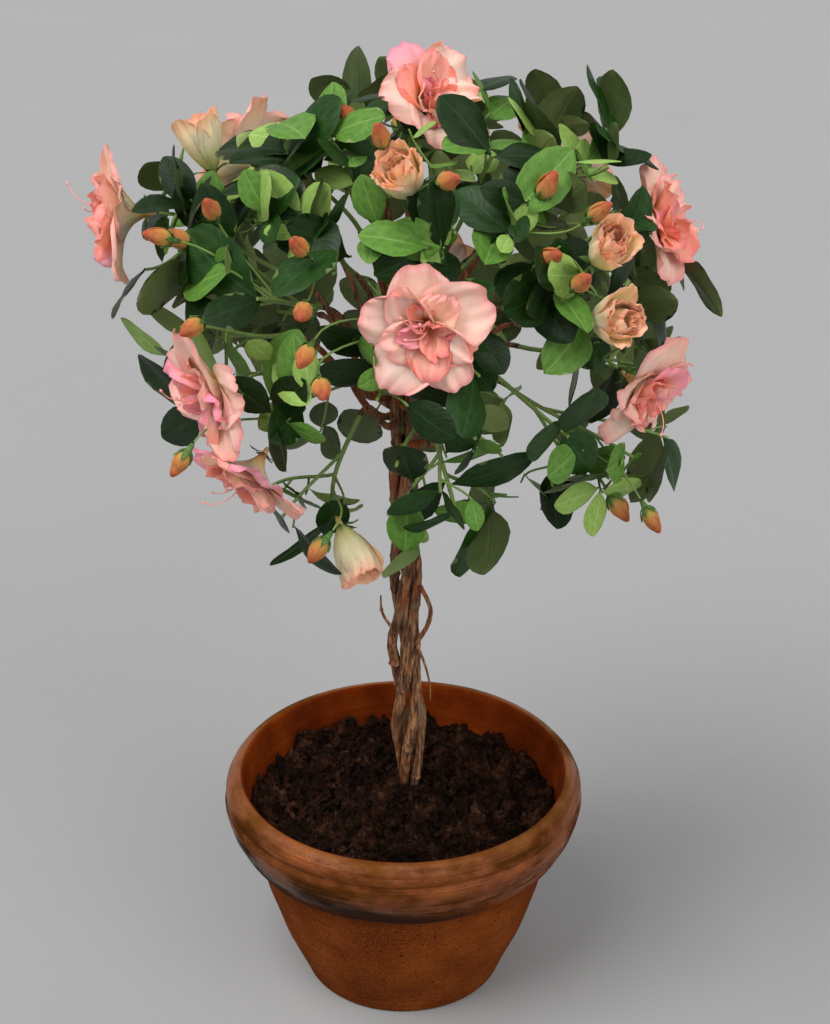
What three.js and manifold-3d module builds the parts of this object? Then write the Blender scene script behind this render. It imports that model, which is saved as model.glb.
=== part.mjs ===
// Artificial azalea tree: a round crown of silk leaves and double blooms carried on
// four twisted vine stems, planted in a turned terracotta pot filled with peat.
// Lengths are millimetres, +Z is up, X runs to the right, Y runs away from the front,
// and the origin is the centre of the pot's flat underside.
import * as THREE from "three";
import Module from "manifold-3d";

const wasm = await Module();
wasm.setup();
const { Manifold, Mesh } = wasm;

const TURN = 2 * Math.PI;
const CLEARANCE = 0.3;

const TERRACOTTA = 0x9a5a34;
const PEAT = 0x2a1c16;
const BARK = 0x6b4630;
const LEAF_GREEN = 0x2f5a2c;

// ---------------------------------------------------------------- pot and soil
const POT_SIDES = 30;
const FOOT_RADIUS = 66;
const FLOOR_THICKNESS = 12;
const COLLAR_RADIUS = 116;
// Radius and height, from the flat foot up the wall, over the rolled collar and down inside.
const POT_PROFILE = [
  [FOOT_RADIUS - 2.5, 0],
  [FOOT_RADIUS, 2.2],
  [80.5, 36],
  [90.5, 68],
  [96.2, 93],
  [107, 106],
  [113.5, 118],
  [COLLAR_RADIUS, 130],
  [115, 138],
  [111.5, 144.5],
  [108, 147.6],
  [104, 147],
  [98.8, 121],
  [87, 67],
  [75, 34],
  [60, FLOOR_THICKNESS],
];
const SOIL_SIDES = 20;
const SOIL_TOP = 132;
// Radius and height of the peat, from its flat bottom up the wall and in over the dome.
const SOIL_PROFILE = [
  [59, FLOOR_THICKNESS + CLEARANCE],
  [74.2, 34.6],
  [86.3, 67.4],
  [97.9, 121.4],
  [98.1, 124.5],
  [86, 126.5],
  [66, 128.6],
  [44, 130.4],
  [22, 131.6],
  [12, SOIL_TOP],
];
const SOIL_ROUGHNESS = 1.1;
// Rows of the soil's profile below its surface, which stay smooth against the pot.
const SOIL_SMOOTH_ROWS = 5;
const SOIL_SEED = 77;

// ---------------------------------------------------------------- trunk
const TRUNK_BASE = [4.5, 0, SOIL_TOP + CLEARANCE];
const TRUNK_FORK = [0.4, 0, 381];
const TWIST_TURNS = 1.05;
const STEM_SIDES = 6;
const HELIX_STEPS = 15;
const LEADER_STEPS = 6;
const STEM_TIP_RADIUS = 1.9;
// Along the twist: share of the height, stem radius, distance of the stem from the axis.
const TWIST_SHAPE = [
  [0.0, 2.55, 4.1],
  [0.1, 2.9, 6.2],
  [0.2, 3.1, 8.5],
  [0.38, 3.1, 4.9],
  [0.5, 3.0, 5.4],
  [0.62, 3.0, 7.0],
  [0.78, 2.9, 5.8],
  [1.0, 2.9, 5.6],
];
// Name, heading at the fork in degrees, extra bow of a loose loop, its place up the trunk,
// and where the stem's leader ends: azimuth, elevation and share of the crown.
const STEMS = [
  { name: "stem_front_left", heading: 228, bow: 0, bowAt: 0.5, tip: [228, 57, 0.42] },
  { name: "stem_front_right", heading: 318, bow: 0, bowAt: 0.5, tip: [308, 54, 0.42] },
  { name: "stem_back_right", heading: 48, bow: 4.5, bowAt: 0.45, tip: [88, 60, 0.42] },
  { name: "stem_back_left", heading: 138, bow: 0, bowAt: 0.5, tip: [150, 78, 0.42] },
];

// ---------------------------------------------------------------- crown
const CROWN_CENTRE = [3, 0, 461];
const CROWN_HALF = [188, 188, 160];
// Share of the crown's half sizes that no leaf or petal passes.
const CROWN_REACH = 1.1;
const BOUGH_SHARE = 0.4;
const BOUGH_SIDES = 5;
const BOUGH_STEPS = 5;
const BOUGH_RADIUS = [2.3, 1.5];
const LIMB_ROOM = 1.4;
const CELL_MARGIN = 0.5;
const LEAF_LIMB_ROOM = 3.3;
const BLADE_ROOM = 3.2;
const TWIG_ROOM = 2.4;
const SHOOT_SIDES = 3;
const SHOOT_STEPS = 4;
const TWIG_STEPS = 3;
const SHOOT_RADIUS = [1.5, 1.1];
const TWIG_RADIUS = [1.15, 0.95];
const TWIG_ROOT = 0.45;
const LEAF_LENGTH = [33, 48];
const LEAF = { width: 0.56, thickness: 0.03, cup: 0.05 };
const LEAVES_PER_TIP = 5;
const LEAVES_LOWER = 2;
// Share of the reach by which a twig stops short of its tip, for the leaves to cover.
const TIP_BACK = 0.08;
const HUB_RADIUS = 2.6;
const HUB_HEIGHT = 1.7;
// Share of its lean and of its length that a blade tries in turn to stay in its space.
const FOLDS = [[1, 1], [0.75, 0.88], [1.2, 0.85], [0.5, 0.75], [0.8, 0.62]];
// Sizes that a flower tries in turn, for the same reason.
const FLOWER_SIZES = [1, 0.94, 0.88, 0.8, 0.7, 0.58];
const FIRST_SEED = 1000;
const SEED_STEP = 37;

// Each mass: its stem's own leader or a bough toward a heading, the share of extra space it
// holds, and its tips. A tip is kind, azimuth, elevation, share of the crown's reach, and for
// flowers the azimuth and elevation they face.
const MASSES = [
  { name: "top", leader: 3, room: 2100, tips: [
    ["bloom", 330, 86, 0.84, 318, 42], ["leaves", 120, 66, 0.86], ["leaves", 215, 74, 0.82],
    ["leaves", 20, 66, 0.84]] },
  { name: "top_left", leader: 0, room: 700, tips: [
    ["leaves", 216, 54, 0.88], ["leaves", 246, 58, 0.86], ["bud", 238, 66, 0.92, 240, 50],
    ["leaves", 186, 50, 0.84]] },
  { name: "top_right", leader: 1, room: 1200, tips: [
    ["leaves", 308, 56, 0.88], ["leaves", 282, 58, 0.84], ["leaves", 340, 52, 0.86]] },
  { name: "back_top", leader: 2, room: 0, tips: [
    ["leaves", 88, 56, 0.86], ["leaves", 60, 50, 0.84], ["leaves", 118, 48, 0.84],
    ["leaves", 90, 40, 0.86]] },
  { name: "right_crest_high", bough: [12, 40], room: 0, tips: [
    ["leaves", 4, 42, 0.98], ["leaves", 32, 44, 0.88], ["leaves", 344, 40, 0.94]] },
  { name: "right_crest", bough: [3, 18], room: 1200, tips: [
    ["bloom", 3, 21, 0.87, 338, 14], ["leaves", 2, 9, 0.92], ["leaves", 344, 22, 0.84],
    ["leaves", 20, 14, 0.84]] },
  { name: "right", bough: [328, -4], room: 2400, tips: [
    ["bloom", 328, -4, 0.86, 318, -24], ["leaves", 346, -8, 0.8], ["leaves", 335, 10, 0.8]] },
  { name: "right_face", bough: [318, 16], room: 2800, tips: [
    ["half", 316, 13, 0.86, 300, 18], ["half", 321, 25, 0.88, 290, 40],
    ["leaves", 308, 22, 0.84], ["bud", 304, 28, 0.9, 300, 30]] },
  { name: "right_upper_face", bough: [304, 38], room: 2000, tips: [
    ["leaves", 302, 40, 0.86], ["leaves", 322, 40, 0.86], ["leaves", 298, 30, 0.84],
    ["bud", 312, 42, 0.92, 330, 60]] },
  { name: "centre", bough: [272, 12], room: 2300, tips: [
    ["bloom", 275, 18, 0.84, 262, 4], ["leaves", 264, 2, 0.84], ["leaves", 286, 6, 0.82],
    ["leaves", 258, 14, 0.8]] },
  { name: "upper_face", bough: [272, 40], room: 1300, tips: [
    ["half", 271, 48, 0.88, 250, 46], ["leaves", 262, 40, 0.86], ["leaves", 284, 38, 0.84],
    ["leaves", 272, 30, 0.82]] },
  { name: "left_upper_face", bough: [240, 36], room: 1000, tips: [
    ["leaves", 242, 40, 0.88], ["leaves", 224, 36, 0.86], ["leaves", 252, 28, 0.84]] },
  { name: "left_face", bough: [228, 18], room: 1000, tips: [
    ["leaves", 236, 20, 0.88], ["leaves", 222, 27, 0.86], ["bud", 246, 16, 0.92, 240, 10],
    ["leaves", 207, 18, 0.84], ["bud", 212, 26, 0.94, 210, 30]] },
  { name: "left_crest", bough: [182, 20], room: 1200, tips: [
    ["bloom", 178, 21, 0.97, 196, 4], ["half", 170, 36, 0.88, 150, 72],
    ["leaves", 194, 28, 0.88], ["leaves", 180, 10, 0.9]] },
  { name: "left_low", bough: [226, -8], room: 5600, tips: [
    ["bloom", 233, -19, 0.84, 222, -44], ["bloom", 228, -1, 0.84, 214, -12],
    ["leaves", 208, -16, 0.84], ["leaves", 246, -4, 0.8]] },
  { name: "left_edge", bough: [192, -6], room: 0, tips: [
    ["leaves", 190, 0, 0.76], ["leaves", 174, -10, 0.76], ["leaves", 196, -16, 0.72]] },
  { name: "centre_low", bough: [276, -12], room: 600, tips: [
    ["leaves", 284, -6, 0.88], ["leaves", 268, -12, 0.88], ["leaves", 278, -22, 0.86],
    ["leaves", 292, -14, 0.84]] },
  { name: "right_low_face", bough: [304, -6], room: 600, tips: [
    ["leaves", 306, -10, 0.88], ["leaves", 300, 4, 0.86], ["leaves", 314, 2, 0.84],
    ["leaves", 312, -20, 0.86]] },
  { name: "right_low_spray", bough: [334, -28], room: 1400, tips: [
    ["leaves", 334, -24, 0.94], ["leaves", 346, -22, 1.0], ["bud", 332, -34, 1.0, 330, -50],
    ["leaves", 320, -36, 0.84]] },
  { name: "low_centre_spray", bough: [284, -38], room: 0, tips: [
    ["leaves", 284, -34, 0.86], ["leaves", 268, -36, 0.84], ["leaves", 304, -44, 0.8]] },
  { name: "low_left_spray", bough: [240, -40], room: 2600, tips: [
    ["half", 248, -46, 0.88, 300, -40], ["leaves", 232, -38, 0.9], ["leaves", 214, -42, 0.84]] },
  { name: "back_right_high", bough: [44, 24], room: 900, tips: [
    ["bloom", 42, 28, 0.84, 42, 24], ["leaves", 60, 22, 0.84], ["leaves", 30, 14, 0.82],
    ["leaves", 50, 8, 0.86]] },
  { name: "back_high", bough: [90, 20], room: 0, tips: [
    ["leaves", 90, 22, 0.88], ["leaves", 76, 12, 0.86], ["leaves", 104, 14, 0.86],
    ["bud", 92, 30, 0.92, 90, 40]] },
  { name: "back_left_high", bough: [136, 24], room: 900, tips: [
    ["bloom", 138, 28, 0.84, 138, 24], ["leaves", 122, 20, 0.84], ["leaves", 152, 16, 0.82],
    ["leaves", 134, 8, 0.86]] },
  { name: "back_right", bough: [24, -14], room: 0, tips: [
    ["leaves", 22, -10, 0.88], ["leaves", 38, -16, 0.86], ["leaves", 12, -24, 0.84]] },
  { name: "back_middle", bough: [84, -14], room: 900, tips: [
    ["bloom", 84, -12, 0.84, 84, -14], ["leaves", 66, -12, 0.86], ["leaves", 100, -20, 0.84],
    ["leaves", 74, -26, 0.84]] },
  { name: "back_left", bough: [140, -14], room: 0, tips: [
    ["leaves", 140, -12, 0.84], ["leaves", 122, -14, 0.86], ["leaves", 154, -20, 0.78]] },
  { name: "back_low", bough: [96, -42], room: 900, tips: [
    ["leaves", 96, -42, 0.84], ["leaves", 140, -42, 0.82], ["leaves", 50, -42, 0.82]] },
];

// ---------------------------------------------------------------- small vector helpers
const add = (a, b) => [a[0] + b[0], a[1] + b[1], a[2] + b[2]];
const minus = (a, b) => [a[0] - b[0], a[1] - b[1], a[2] - b[2]];
const scale = (a, k) => [a[0] * k, a[1] * k, a[2] * k];
const dot = (a, b) => a[0] * b[0] + a[1] * b[1] + a[2] * b[2];
const size = (a) => Math.sqrt(dot(a, a));
const unit = (a) => scale(a, 1 / size(a));
const mix = (a, b, t) => a + (b - a) * t;
const blend = (a, b, t) => [mix(a[0], b[0], t), mix(a[1], b[1], t), mix(a[2], b[2], t)];
const cross = (a, b) => [
  a[1] * b[2] - a[2] * b[1],
  a[2] * b[0] - a[0] * b[2],
  a[0] * b[1] - a[1] * b[0],
];
// The part of a that is square to the unit vector n, at unit length.
const squareTo = (a, n) => unit(minus(a, scale(n, dot(a, n))));

function seededStream(seed) {
  let state = seed;
  return () => {
    state = (state * 16807) % 2147483647;
    return state / 2147483647;
  };
}

function direction(azimuth, elevation) {
  const a = (azimuth / 360) * TURN;
  const e = (elevation / 360) * TURN;
  return [Math.cos(e) * Math.cos(a), Math.cos(e) * Math.sin(a), Math.sin(e)];
}

function crownPoint(azimuth, elevation, share) {
  const d = direction(azimuth, elevation);
  const reach = 1 / size([d[0] / CROWN_HALF[0], d[1] / CROWN_HALF[1], d[2] / CROWN_HALF[2]]);
  return add(CROWN_CENTRE, scale(d, reach * share));
}

// Points on a cubic curve that leaves start along startWay and arrives at end along endWay.
function curve(start, startWay, end, endWay, steps) {
  const pull = size(minus(end, start)) * 0.36;
  const a = add(start, scale(startWay, pull));
  const b = minus(end, scale(endWay, pull));
  const points = [];
  for (let i = 0; i <= steps; i++) {
    const t = i / steps;
    const near = blend(blend(start, a, t), blend(a, b, t), t);
    const far = blend(blend(a, b, t), blend(b, end, t), t);
    points.push(blend(near, far, t));
  }
  return points;
}

// ---------------------------------------------------------------- closed solids
function solidFrom(points, faces) {
  const mesh = new Mesh({
    numProp: 3,
    vertProperties: new Float32Array(points.flat()),
    triVerts: new Uint32Array(faces.flat()),
  });
  return new Manifold(mesh);
}

// Skin a run of rings with the same number of points, each end closed by a fan.
function ringSolid(rings, startPoint, endPoint) {
  const sides = rings[0].length;
  const points = [startPoint, endPoint];
  rings.forEach((ring) => points.push(...ring));
  const at = (ring, side) => 2 + ring * sides + (side % sides);
  const faces = [];
  const last = rings.length - 1;
  for (let s = 0; s < sides; s++) {
    faces.push([0, at(0, s + 1), at(0, s)]);
    faces.push([1, at(last, s), at(last, s + 1)]);
    for (let r = 0; r < last; r++) {
      faces.push([at(r, s), at(r, s + 1), at(r + 1, s + 1)]);
      faces.push([at(r, s), at(r + 1, s + 1), at(r + 1, s)]);
    }
  }
  return solidFrom(points, faces);
}

// Turn a profile about the vertical; lump gives how far each point is raised.
function turned(profile, sides, lump) {
  const rings = profile.map(([radius, height], row) => {
    const ring = [];
    for (let s = 0; s < sides; s++) {
      const a = (s / sides) * TURN;
      ring.push([radius * Math.cos(a), radius * Math.sin(a), height + lump(row)]);
    }
    return ring;
  });
  const first = profile[0];
  const last = profile[profile.length - 1];
  return ringSolid(rings, [0, 0, first[1]], [0, 0, last[1]]);
}

// Tapering limb along a run of points; startWay and tipWay are square to its two flat ends.
function limb({ points, radii, startWay, tipWay }, sides) {
  const last = points.length - 1;
  const ways = points.map((p, i) => {
    if (i === 0) return startWay;
    if (i === last) return tipWay;
    return unit(minus(points[i + 1], points[i - 1]));
  });
  let across = squareTo(Math.abs(startWay[2]) > 0.8 ? [1, 0, 0] : [0, 0, 1], startWay);
  const rings = points.map((p, i) => {
    across = squareTo(across, ways[i]);
    const up = cross(ways[i], across);
    const ring = [];
    for (let s = 0; s < sides; s++) {
      const a = (s / sides) * TURN;
      const offset = add(scale(across, Math.cos(a)), scale(up, Math.sin(a)));
      ring.push(add(p, scale(offset, radii[i])));
    }
    return ring;
  });
  return ringSolid(rings, points[0], points[last]);
}

// Corners of a thin blade: root, tip, two sides, and the ridge above and below.
function bladeCorners(root, way, up, blade, length) {
  const side = cross(up, way);
  const middle = add(root, scale(way, length * 0.54));
  const lift = scale(up, length * blade.cup);
  const half = length * blade.width * 0.5;
  const ridge = scale(up, length * blade.thickness * 0.5);
  return [
    root,
    minus(add(root, scale(way, length)), scale(up, length * blade.droop)),
    add(add(middle, scale(side, half)), lift),
    add(minus(middle, scale(side, half)), lift),
    add(middle, ridge),
    minus(middle, ridge),
  ];
}

// ---------------------------------------------------------------- trunk stems
function twistShape(share) {
  for (let i = 1; i < TWIST_SHAPE.length; i++) {
    const [s1, r1, d1] = TWIST_SHAPE[i];
    if (share <= s1) {
      const [s0, r0, d0] = TWIST_SHAPE[i - 1];
      const t = (share - s0) / (s1 - s0);
      return [mix(r0, r1, t), mix(d0, d1, t)];
    }
  }
  return TWIST_SHAPE[TWIST_SHAPE.length - 1].slice(1);
}

function stemPath(stem) {
  const points = [];
  const radii = [];
  for (let i = 0; i <= HELIX_STEPS; i++) {
    const share = i / HELIX_STEPS;
    const [radius, distance] = twistShape(share);
    const bow = stem.bow * Math.exp(-Math.pow((share - stem.bowAt) / 0.09, 2));
    const a = (stem.heading / 360) * TURN - (1 - share) * TWIST_TURNS * TURN;
    const axis = blend(TRUNK_BASE, TRUNK_FORK, share);
    const reach = distance + bow;
    points.push(add(axis, [reach * Math.cos(a), reach * Math.sin(a), 0]));
    radii.push(radius);
  }
  const fork = points[HELIX_STEPS];
  const way = unit(add(unit(minus(fork, points[HELIX_STEPS - 1])), [0, 0, 1]));
  const end = crownPoint(...stem.tip);
  const outward = unit(minus(end, CROWN_CENTRE));
  const leader = curve(fork, way, end, outward, LEADER_STEPS);
  for (let i = 1; i <= LEADER_STEPS; i++) {
    points.push(leader[i]);
    radii.push(mix(radii[HELIX_STEPS], STEM_TIP_RADIUS, i / LEADER_STEPS));
  }
  return { points, radii, startWay: [0, 0, 1], tipWay: outward };
}

// ---------------------------------------------------------------- boughs
const SAMPLE_SPACING = 4;

// Evenly spaced points and radii along a limb, for measuring the room between limbs.
function sampled(path) {
  const samples = [];
  for (let i = 1; i < path.points.length; i++) {
    const a = path.points[i - 1];
    const b = path.points[i];
    const count = Math.ceil(size(minus(b, a)) / SAMPLE_SPACING);
    for (let k = 0; k < count; k++) {
      const t = k / count;
      samples.push([blend(a, b, t), mix(path.radii[i - 1], path.radii[i], t)]);
    }
  }
  samples.push([path.points[path.points.length - 1], path.radii[path.radii.length - 1]]);
  return samples;
}

function roomBetween(samples, others) {
  let room = Infinity;
  for (const [p, r] of samples) {
    for (const [q, s] of others) {
      room = Math.min(room, size(minus(p, q)) - r - s);
    }
  }
  return room;
}

// A bough starts square on the side of a leader, at the first place from which it reaches
// its mass clear of every other limb. Low masses look for a start near the fork.
function boughPath(mass, stems, limbs) {
  const [azimuth, elevation] = mass.bough;
  const end = crownPoint(azimuth, elevation, BOUGH_SHARE);
  const endWay = unit(minus(end, CROWN_CENTRE));
  const wanted = TRUNK_FORK[2] + 8 + Math.max(0, elevation + 20) * 0.9;
  const starts = [];
  stems.forEach((stem, index) => {
    for (let i = 0; i < LEADER_STEPS * 4; i++) {
      const step = HELIX_STEPS + Math.floor(i / 4);
      const t = (i % 4) / 4;
      const a = stem.points[step];
      const b = stem.points[step + 1];
      const place = blend(a, b, t);
      const radius = mix(stem.radii[step], stem.radii[step + 1], t);
      const along = unit(minus(b, a));
      const toward = squareTo(minus(end, place), along);
      const start = add(place, scale(toward, radius + CLEARANCE));
      const detour = 1 - dot(toward, unit(minus(end, place)));
      const cost = Math.abs(place[2] - wanted) + detour * 40 + size(minus(end, start)) * 0.25;
      starts.push({ index, start, toward, cost });
    }
  });
  starts.sort((p, q) => p.cost - q.cost);
  for (const { index, start, toward } of starts) {
    const points = curve(start, toward, end, endWay, BOUGH_STEPS);
    const radii = points.map((_, i) => mix(BOUGH_RADIUS[0], BOUGH_RADIUS[1], i / BOUGH_STEPS));
    const path = { points, radii, startWay: toward, tipWay: endWay };
    const samples = sampled(path);
    const clear = limbs.every((other, k) => {
      const own = k === index;
      const part = own ? samples.filter(([p]) => size(minus(p, start)) > 9) : samples;
      return roomBetween(part, other.samples) > LIMB_ROOM;
    });
    if (clear) return { ...path, samples };
  }
  throw new Error(`no clear start for the bough of ${mass.name}`);
}

// ---------------------------------------------------------------- foliage masses
// The space a mass keeps to: nearer its own site than any other, inside the crown's reach
// and clear of the limbs.
function makeSpace(index, sites, limbSamples) {
  const own = sites[index];
  const walls = [];
  sites.forEach((other, k) => {
    if (k === index) return;
    const between = minus(other.point, own.point);
    const span = size(between);
    const way = scale(between, 1 / span);
    const share = 0.5 * span + (own.room - other.room) / (2 * span);
    walls.push({ way, limit: dot(own.point, way) + share - CELL_MARGIN });
  });
  const inCell = (p) => {
    const q = minus(p, CROWN_CENTRE);
    const reach = size([q[0] / CROWN_HALF[0], q[1] / CROWN_HALF[1], q[2] / CROWN_HALF[2]]);
    return reach < CROWN_REACH && walls.every((wall) => dot(p, wall.way) < wall.limit);
  };
  const offLimbs = (p, room) => limbSamples.every(([q, r]) => size(minus(p, q)) > r + room);
  return { inCell, offLimbs };
}

// Points spread over a blade, from root to tip in rows across it.
function bladeSamples([root, tip, left, right]) {
  const samples = [];
  const heart = blend(root, tip, 0.5);
  for (let i = 1; i <= 6; i++) {
    const t = i / 6;
    const spine = blend(root, tip, t);
    const width = 1 - Math.abs(2 * t - 1);
    for (const s of [-0.8, -0.4, 0, 0.4, 0.8]) {
      const toward = minus(s < 0 ? left : right, heart);
      samples.push(add(spine, scale(toward, Math.abs(s) * width)));
    }
  }
  return samples;
}

// A blade keeps to the space of its mass, off the limbs and off the blades grown before it.
function bladeFits(space, corners, samples, blades, twigs) {
  if (!corners.every(space.inCell)) return false;
  if (!samples.every((p) => space.offLimbs(p, LEAF_LIMB_ROOM))) return false;
  const outer = samples.slice(10);
  if (!outer.every((p) => twigs.every(([q]) => size(minus(p, q)) > TWIG_ROOM))) return false;
  return blades.every((other) => outer.every((p) => (
    other.outer.every((q) => size(minus(p, q)) > BLADE_ROOM))));
}

// Two directions square to the axis of a tip, to turn spins about it.
function tipFrame(axis) {
  const sideways = squareTo(Math.abs(axis[2]) > 0.8 ? [1, 0, 0] : [0, 0, 1], axis);
  return [sideways, cross(axis, sideways)];
}

function bladeWay(axis, frame, spin, lean) {
  const around = add(scale(frame[0], Math.cos(spin)), scale(frame[1], Math.sin(spin)));
  return add(scale(axis, Math.cos(lean)), scale(around, Math.sin(lean)));
}

// A blade that would leave the space is folded in and shortened, then given up.
function placeBlade(space, grown, at, axis, blade) {
  const frame = tipFrame(axis);
  const twigs = grown.twigSamples.filter(([q]) => size(minus(q, at)) > 7);
  for (const [fold, shrink] of FOLDS) {
    const lean = blade.lean * fold;
    const way = bladeWay(axis, frame, blade.spin, lean);
    const face = squareTo(axis, way);
    const length = blade.length * shrink;
    const corners = bladeCorners(at, way, face, blade, length);
    const samples = bladeSamples(corners);
    if (bladeFits(space, corners, samples, grown.blades, twigs)) {
      const placed = { ...blade, lean, length, corners, at, way, face };
      placed.outer = samples.slice(10);
      grown.blades.push(placed);
      return placed;
    }
  }
  return null;
}

// Leaves stand in a whorl round a small hub on their twig.
function growWhorl(grown, space, draw, at, axis, count) {
  const turn = draw() * TURN;
  const leaves = [];
  for (let i = 0; i < count; i++) {
    const spin = turn + (i / count) * TURN + (draw() - 0.5) * 0.24;
    const length = mix(LEAF_LENGTH[0], LEAF_LENGTH[1], draw());
    const lean = 1.05 + draw() * 0.4;
    const droop = 0.04 + draw() * 0.14;
    const placed = placeBlade(space, grown, at, axis, { ...LEAF, spin, length, lean, droop });
    if (placed) leaves.push(placed);
  }
  return { at, axis, leaves };
}

// Each ring of a flower: radius of its lobes, radius of the notches between them, and how far
// along the flower's axis the lobes and the notches stand. The whorl stands behind it.
const FLOWERS = {
  bloom: {
    lobes: 6,
    rings: [
      [2.6, 2.6, -4, -4], [16, 13, 3, 2], [39, 28, 14, 8], [25, 21, 14, 11],
      [23, 16, 27, 22], [7, 6, 12, 12],
    ],
    tip: 9,
    leaves: 4,
    whorlBack: 11,
  },
  half: {
    lobes: 4,
    rings: [[2.4, 2.4, -4, -4], [12, 11, 8, 8], [19, 14, 26, 22], [9, 8, 25, 22]],
    tip: 18,
    leaves: 4,
    whorlBack: 10,
  },
  bud: {
    lobes: 3,
    rings: [[1.8, 1.8, -3, -3], [4.4, 4.0, 4, 4], [3.4, 3.0, 11, 11]],
    tip: 17,
    leaves: 0,
    whorlBack: 10,
  },
};

// A flower that would leave the space is drawn in, down to a little over half its size.
function growFlower(grown, space, draw, kind, at, axis) {
  const { lobes, rings, tip } = FLOWERS[kind];
  const frame = tipFrame(axis);
  const turn = draw() * TURN;
  for (const shrink of FLOWER_SIZES) {
    const made = rings.map(([lobe, notch, lobeRise, notchRise], row) => {
      const ring = [];
      for (let s = 0; s < lobes * 2; s++) {
        const out = s % 2 === 0;
        const spin = turn + ((s + (row > 2 ? 1 : 0)) / (lobes * 2)) * TURN;
        const way = scale(bladeWay(axis, frame, spin, TURN / 4), (out ? lobe : notch) * shrink);
        ring.push(add(at, add(way, scale(axis, (out ? lobeRise : notchRise) * shrink))));
      }
      return ring;
    });
    const points = made.flat();
    if (points.every((p) => space.inCell(p) && space.offLimbs(p, LEAF_LIMB_ROOM))) {
      grown.blades.push({ outer: made.slice(1).flat() });
      return { rings: made, end: add(at, scale(axis, tip * shrink)), kind, at, axis, shrink };
    }
  }
  return null;
}

// One shoot runs from the bough's tip to the first tip; the other twigs leave it in turn.
function growMass(mass, base, baseWay, space, seed) {
  const draw = seededStream(seed);
  const grown = { twigs: [], blades: [], twigSamples: [] };
  const start = add(base, scale(baseWay, CLEARANCE));
  mass.tips.forEach(([kind, azimuth, elevation, share, faceAzimuth, faceElevation], index) => {
    const at = crownPoint(azimuth, elevation, share - TIP_BACK);
    const outward = unit(minus(at, CROWN_CENTRE));
    const face = faceAzimuth === undefined ? outward : direction(faceAzimuth, faceElevation);
    const flower = FLOWERS[kind];
    const end = flower ? minus(at, scale(face, flower.whorlBack)) : at;
    const [steps, taper] = index === 0 ? [SHOOT_STEPS, SHOOT_RADIUS] : [TWIG_STEPS, TWIG_RADIUS];
    let from = start;
    let way = baseWay;
    if (index > 0) {
      const shoot = grown.twigs[0].points;
      const along = mix(0.12, 0.8, index / mass.tips.length) * SHOOT_STEPS;
      const step = Math.floor(along);
      from = blend(shoot[step], shoot[step + 1], along - step);
      way = unit(minus(end, from));
    }
    const tipWay = flower ? face : unit(add(face, scale(way, 0.4)));
    const points = curve(from, way, end, tipWay, steps);
    const clear = points.slice(1).every((p) => space.inCell(p) && space.offLimbs(p, 2));
    if (index > 0 && !clear) return;
    const radii = points.map((_, i) => mix(...taper, i / steps));
    if (index > 0) radii[0] = TWIG_ROOT;
    const twig = { kind, points, radii, startWay: way, tipWay, at };
    grown.twigs.push(twig);
    grown.twigSamples.push(...sampled(twig));
  });
  grown.twigs.forEach((twig) => {
    const { kind, points, tipWay, at } = twig;
    const flower = FLOWERS[kind];
    if (flower) twig.flower = growFlower(grown, space, draw, kind, at, tipWay);
    const end = points[points.length - 1];
    const count = flower ? flower.leaves : LEAVES_PER_TIP;
    twig.whorl = growWhorl(grown, space, draw, end, tipWay, count);
  });
  grown.twigs.forEach((twig) => {
    const { kind, points } = twig;
    const step = points.length - 2;
    const way = unit(minus(points[step + 1], points[step - 1]));
    const count = kind === "leaves" ? LEAVES_LOWER : 0;
    twig.lower = growWhorl(grown, space, draw, points[step], way, count);
  });
  return grown;
}

// A twig is skinned ring by ring from its cut end: lower whorl, end whorl, then its flower.
class Skin {
  constructor() {
    this.points = [];
    this.faces = [];
    this.ring = [];
    this.centre = null;
  }

  put(point) {
    this.points.push(point);
    return this.points.length - 1;
  }

  // Close the open ring on one point.
  close(point) {
    const tip = this.put(point);
    const { ring } = this;
    ring.forEach((a, i) => this.faces.push([a, ring[(i + 1) % ring.length], tip]));
  }

  // Begin at a flat end, with its fan facing back.
  begin(centre, ring) {
    const middle = this.put(centre);
    this.centre = centre;
    this.ring = ring.map((p) => this.put(p));
    this.ring.forEach((a, i) => {
      this.faces.push([this.ring[(i + 1) % this.ring.length], a, middle]);
    });
  }

  // Join the open ring to the next one, which may have another number of points. Both run
  // the same way about their centres and are matched by their turn about them.
  grow(next, centre, frame, upper = next) {
    const inOrder = (ring, middle) => {
      const turns = ring.map((k) => {
        const q = minus(this.points[k], middle);
        return Math.atan2(dot(q, frame[1]), dot(q, frame[0]));
      });
      const first = turns.indexOf(Math.min(...turns));
      const order = ring.map((_, i) => (first + i) % ring.length);
      return order.map((i) => ({ point: ring[i], turn: turns[i] }));
    };
    const low = inOrder(this.ring, this.centre);
    const high = inOrder(next, centre);
    const turnAt = (ring, i) => (i < ring.length ? ring[i].turn : ring[0].turn + TURN);
    let i = 0;
    let j = 0;
    while (i < low.length || j < high.length) {
      const a = low[i % low.length].point;
      const b = high[j % high.length].point;
      const nextLow = i < low.length ? turnAt(low, i + 1) : Infinity;
      const nextHigh = j < high.length ? turnAt(high, j + 1) : Infinity;
      if (nextLow <= nextHigh) {
        this.faces.push([a, low[(i + 1) % low.length].point, b]);
        i += 1;
      } else {
        this.faces.push([a, high[(j + 1) % high.length].point, b]);
        j += 1;
      }
    }
    this.ring = upper;
    this.centre = centre;
  }

  solid() {
    return solidFrom(this.points, this.faces);
  }
}

function circle(centre, frame, radius, sides) {
  const ring = [];
  for (let s = 0; s < sides; s++) {
    const a = (s / sides) * TURN;
    const way = add(scale(frame[0], Math.cos(a)), scale(frame[1], Math.sin(a)));
    ring.push(add(centre, scale(way, radius)));
  }
  return ring;
}

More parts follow.
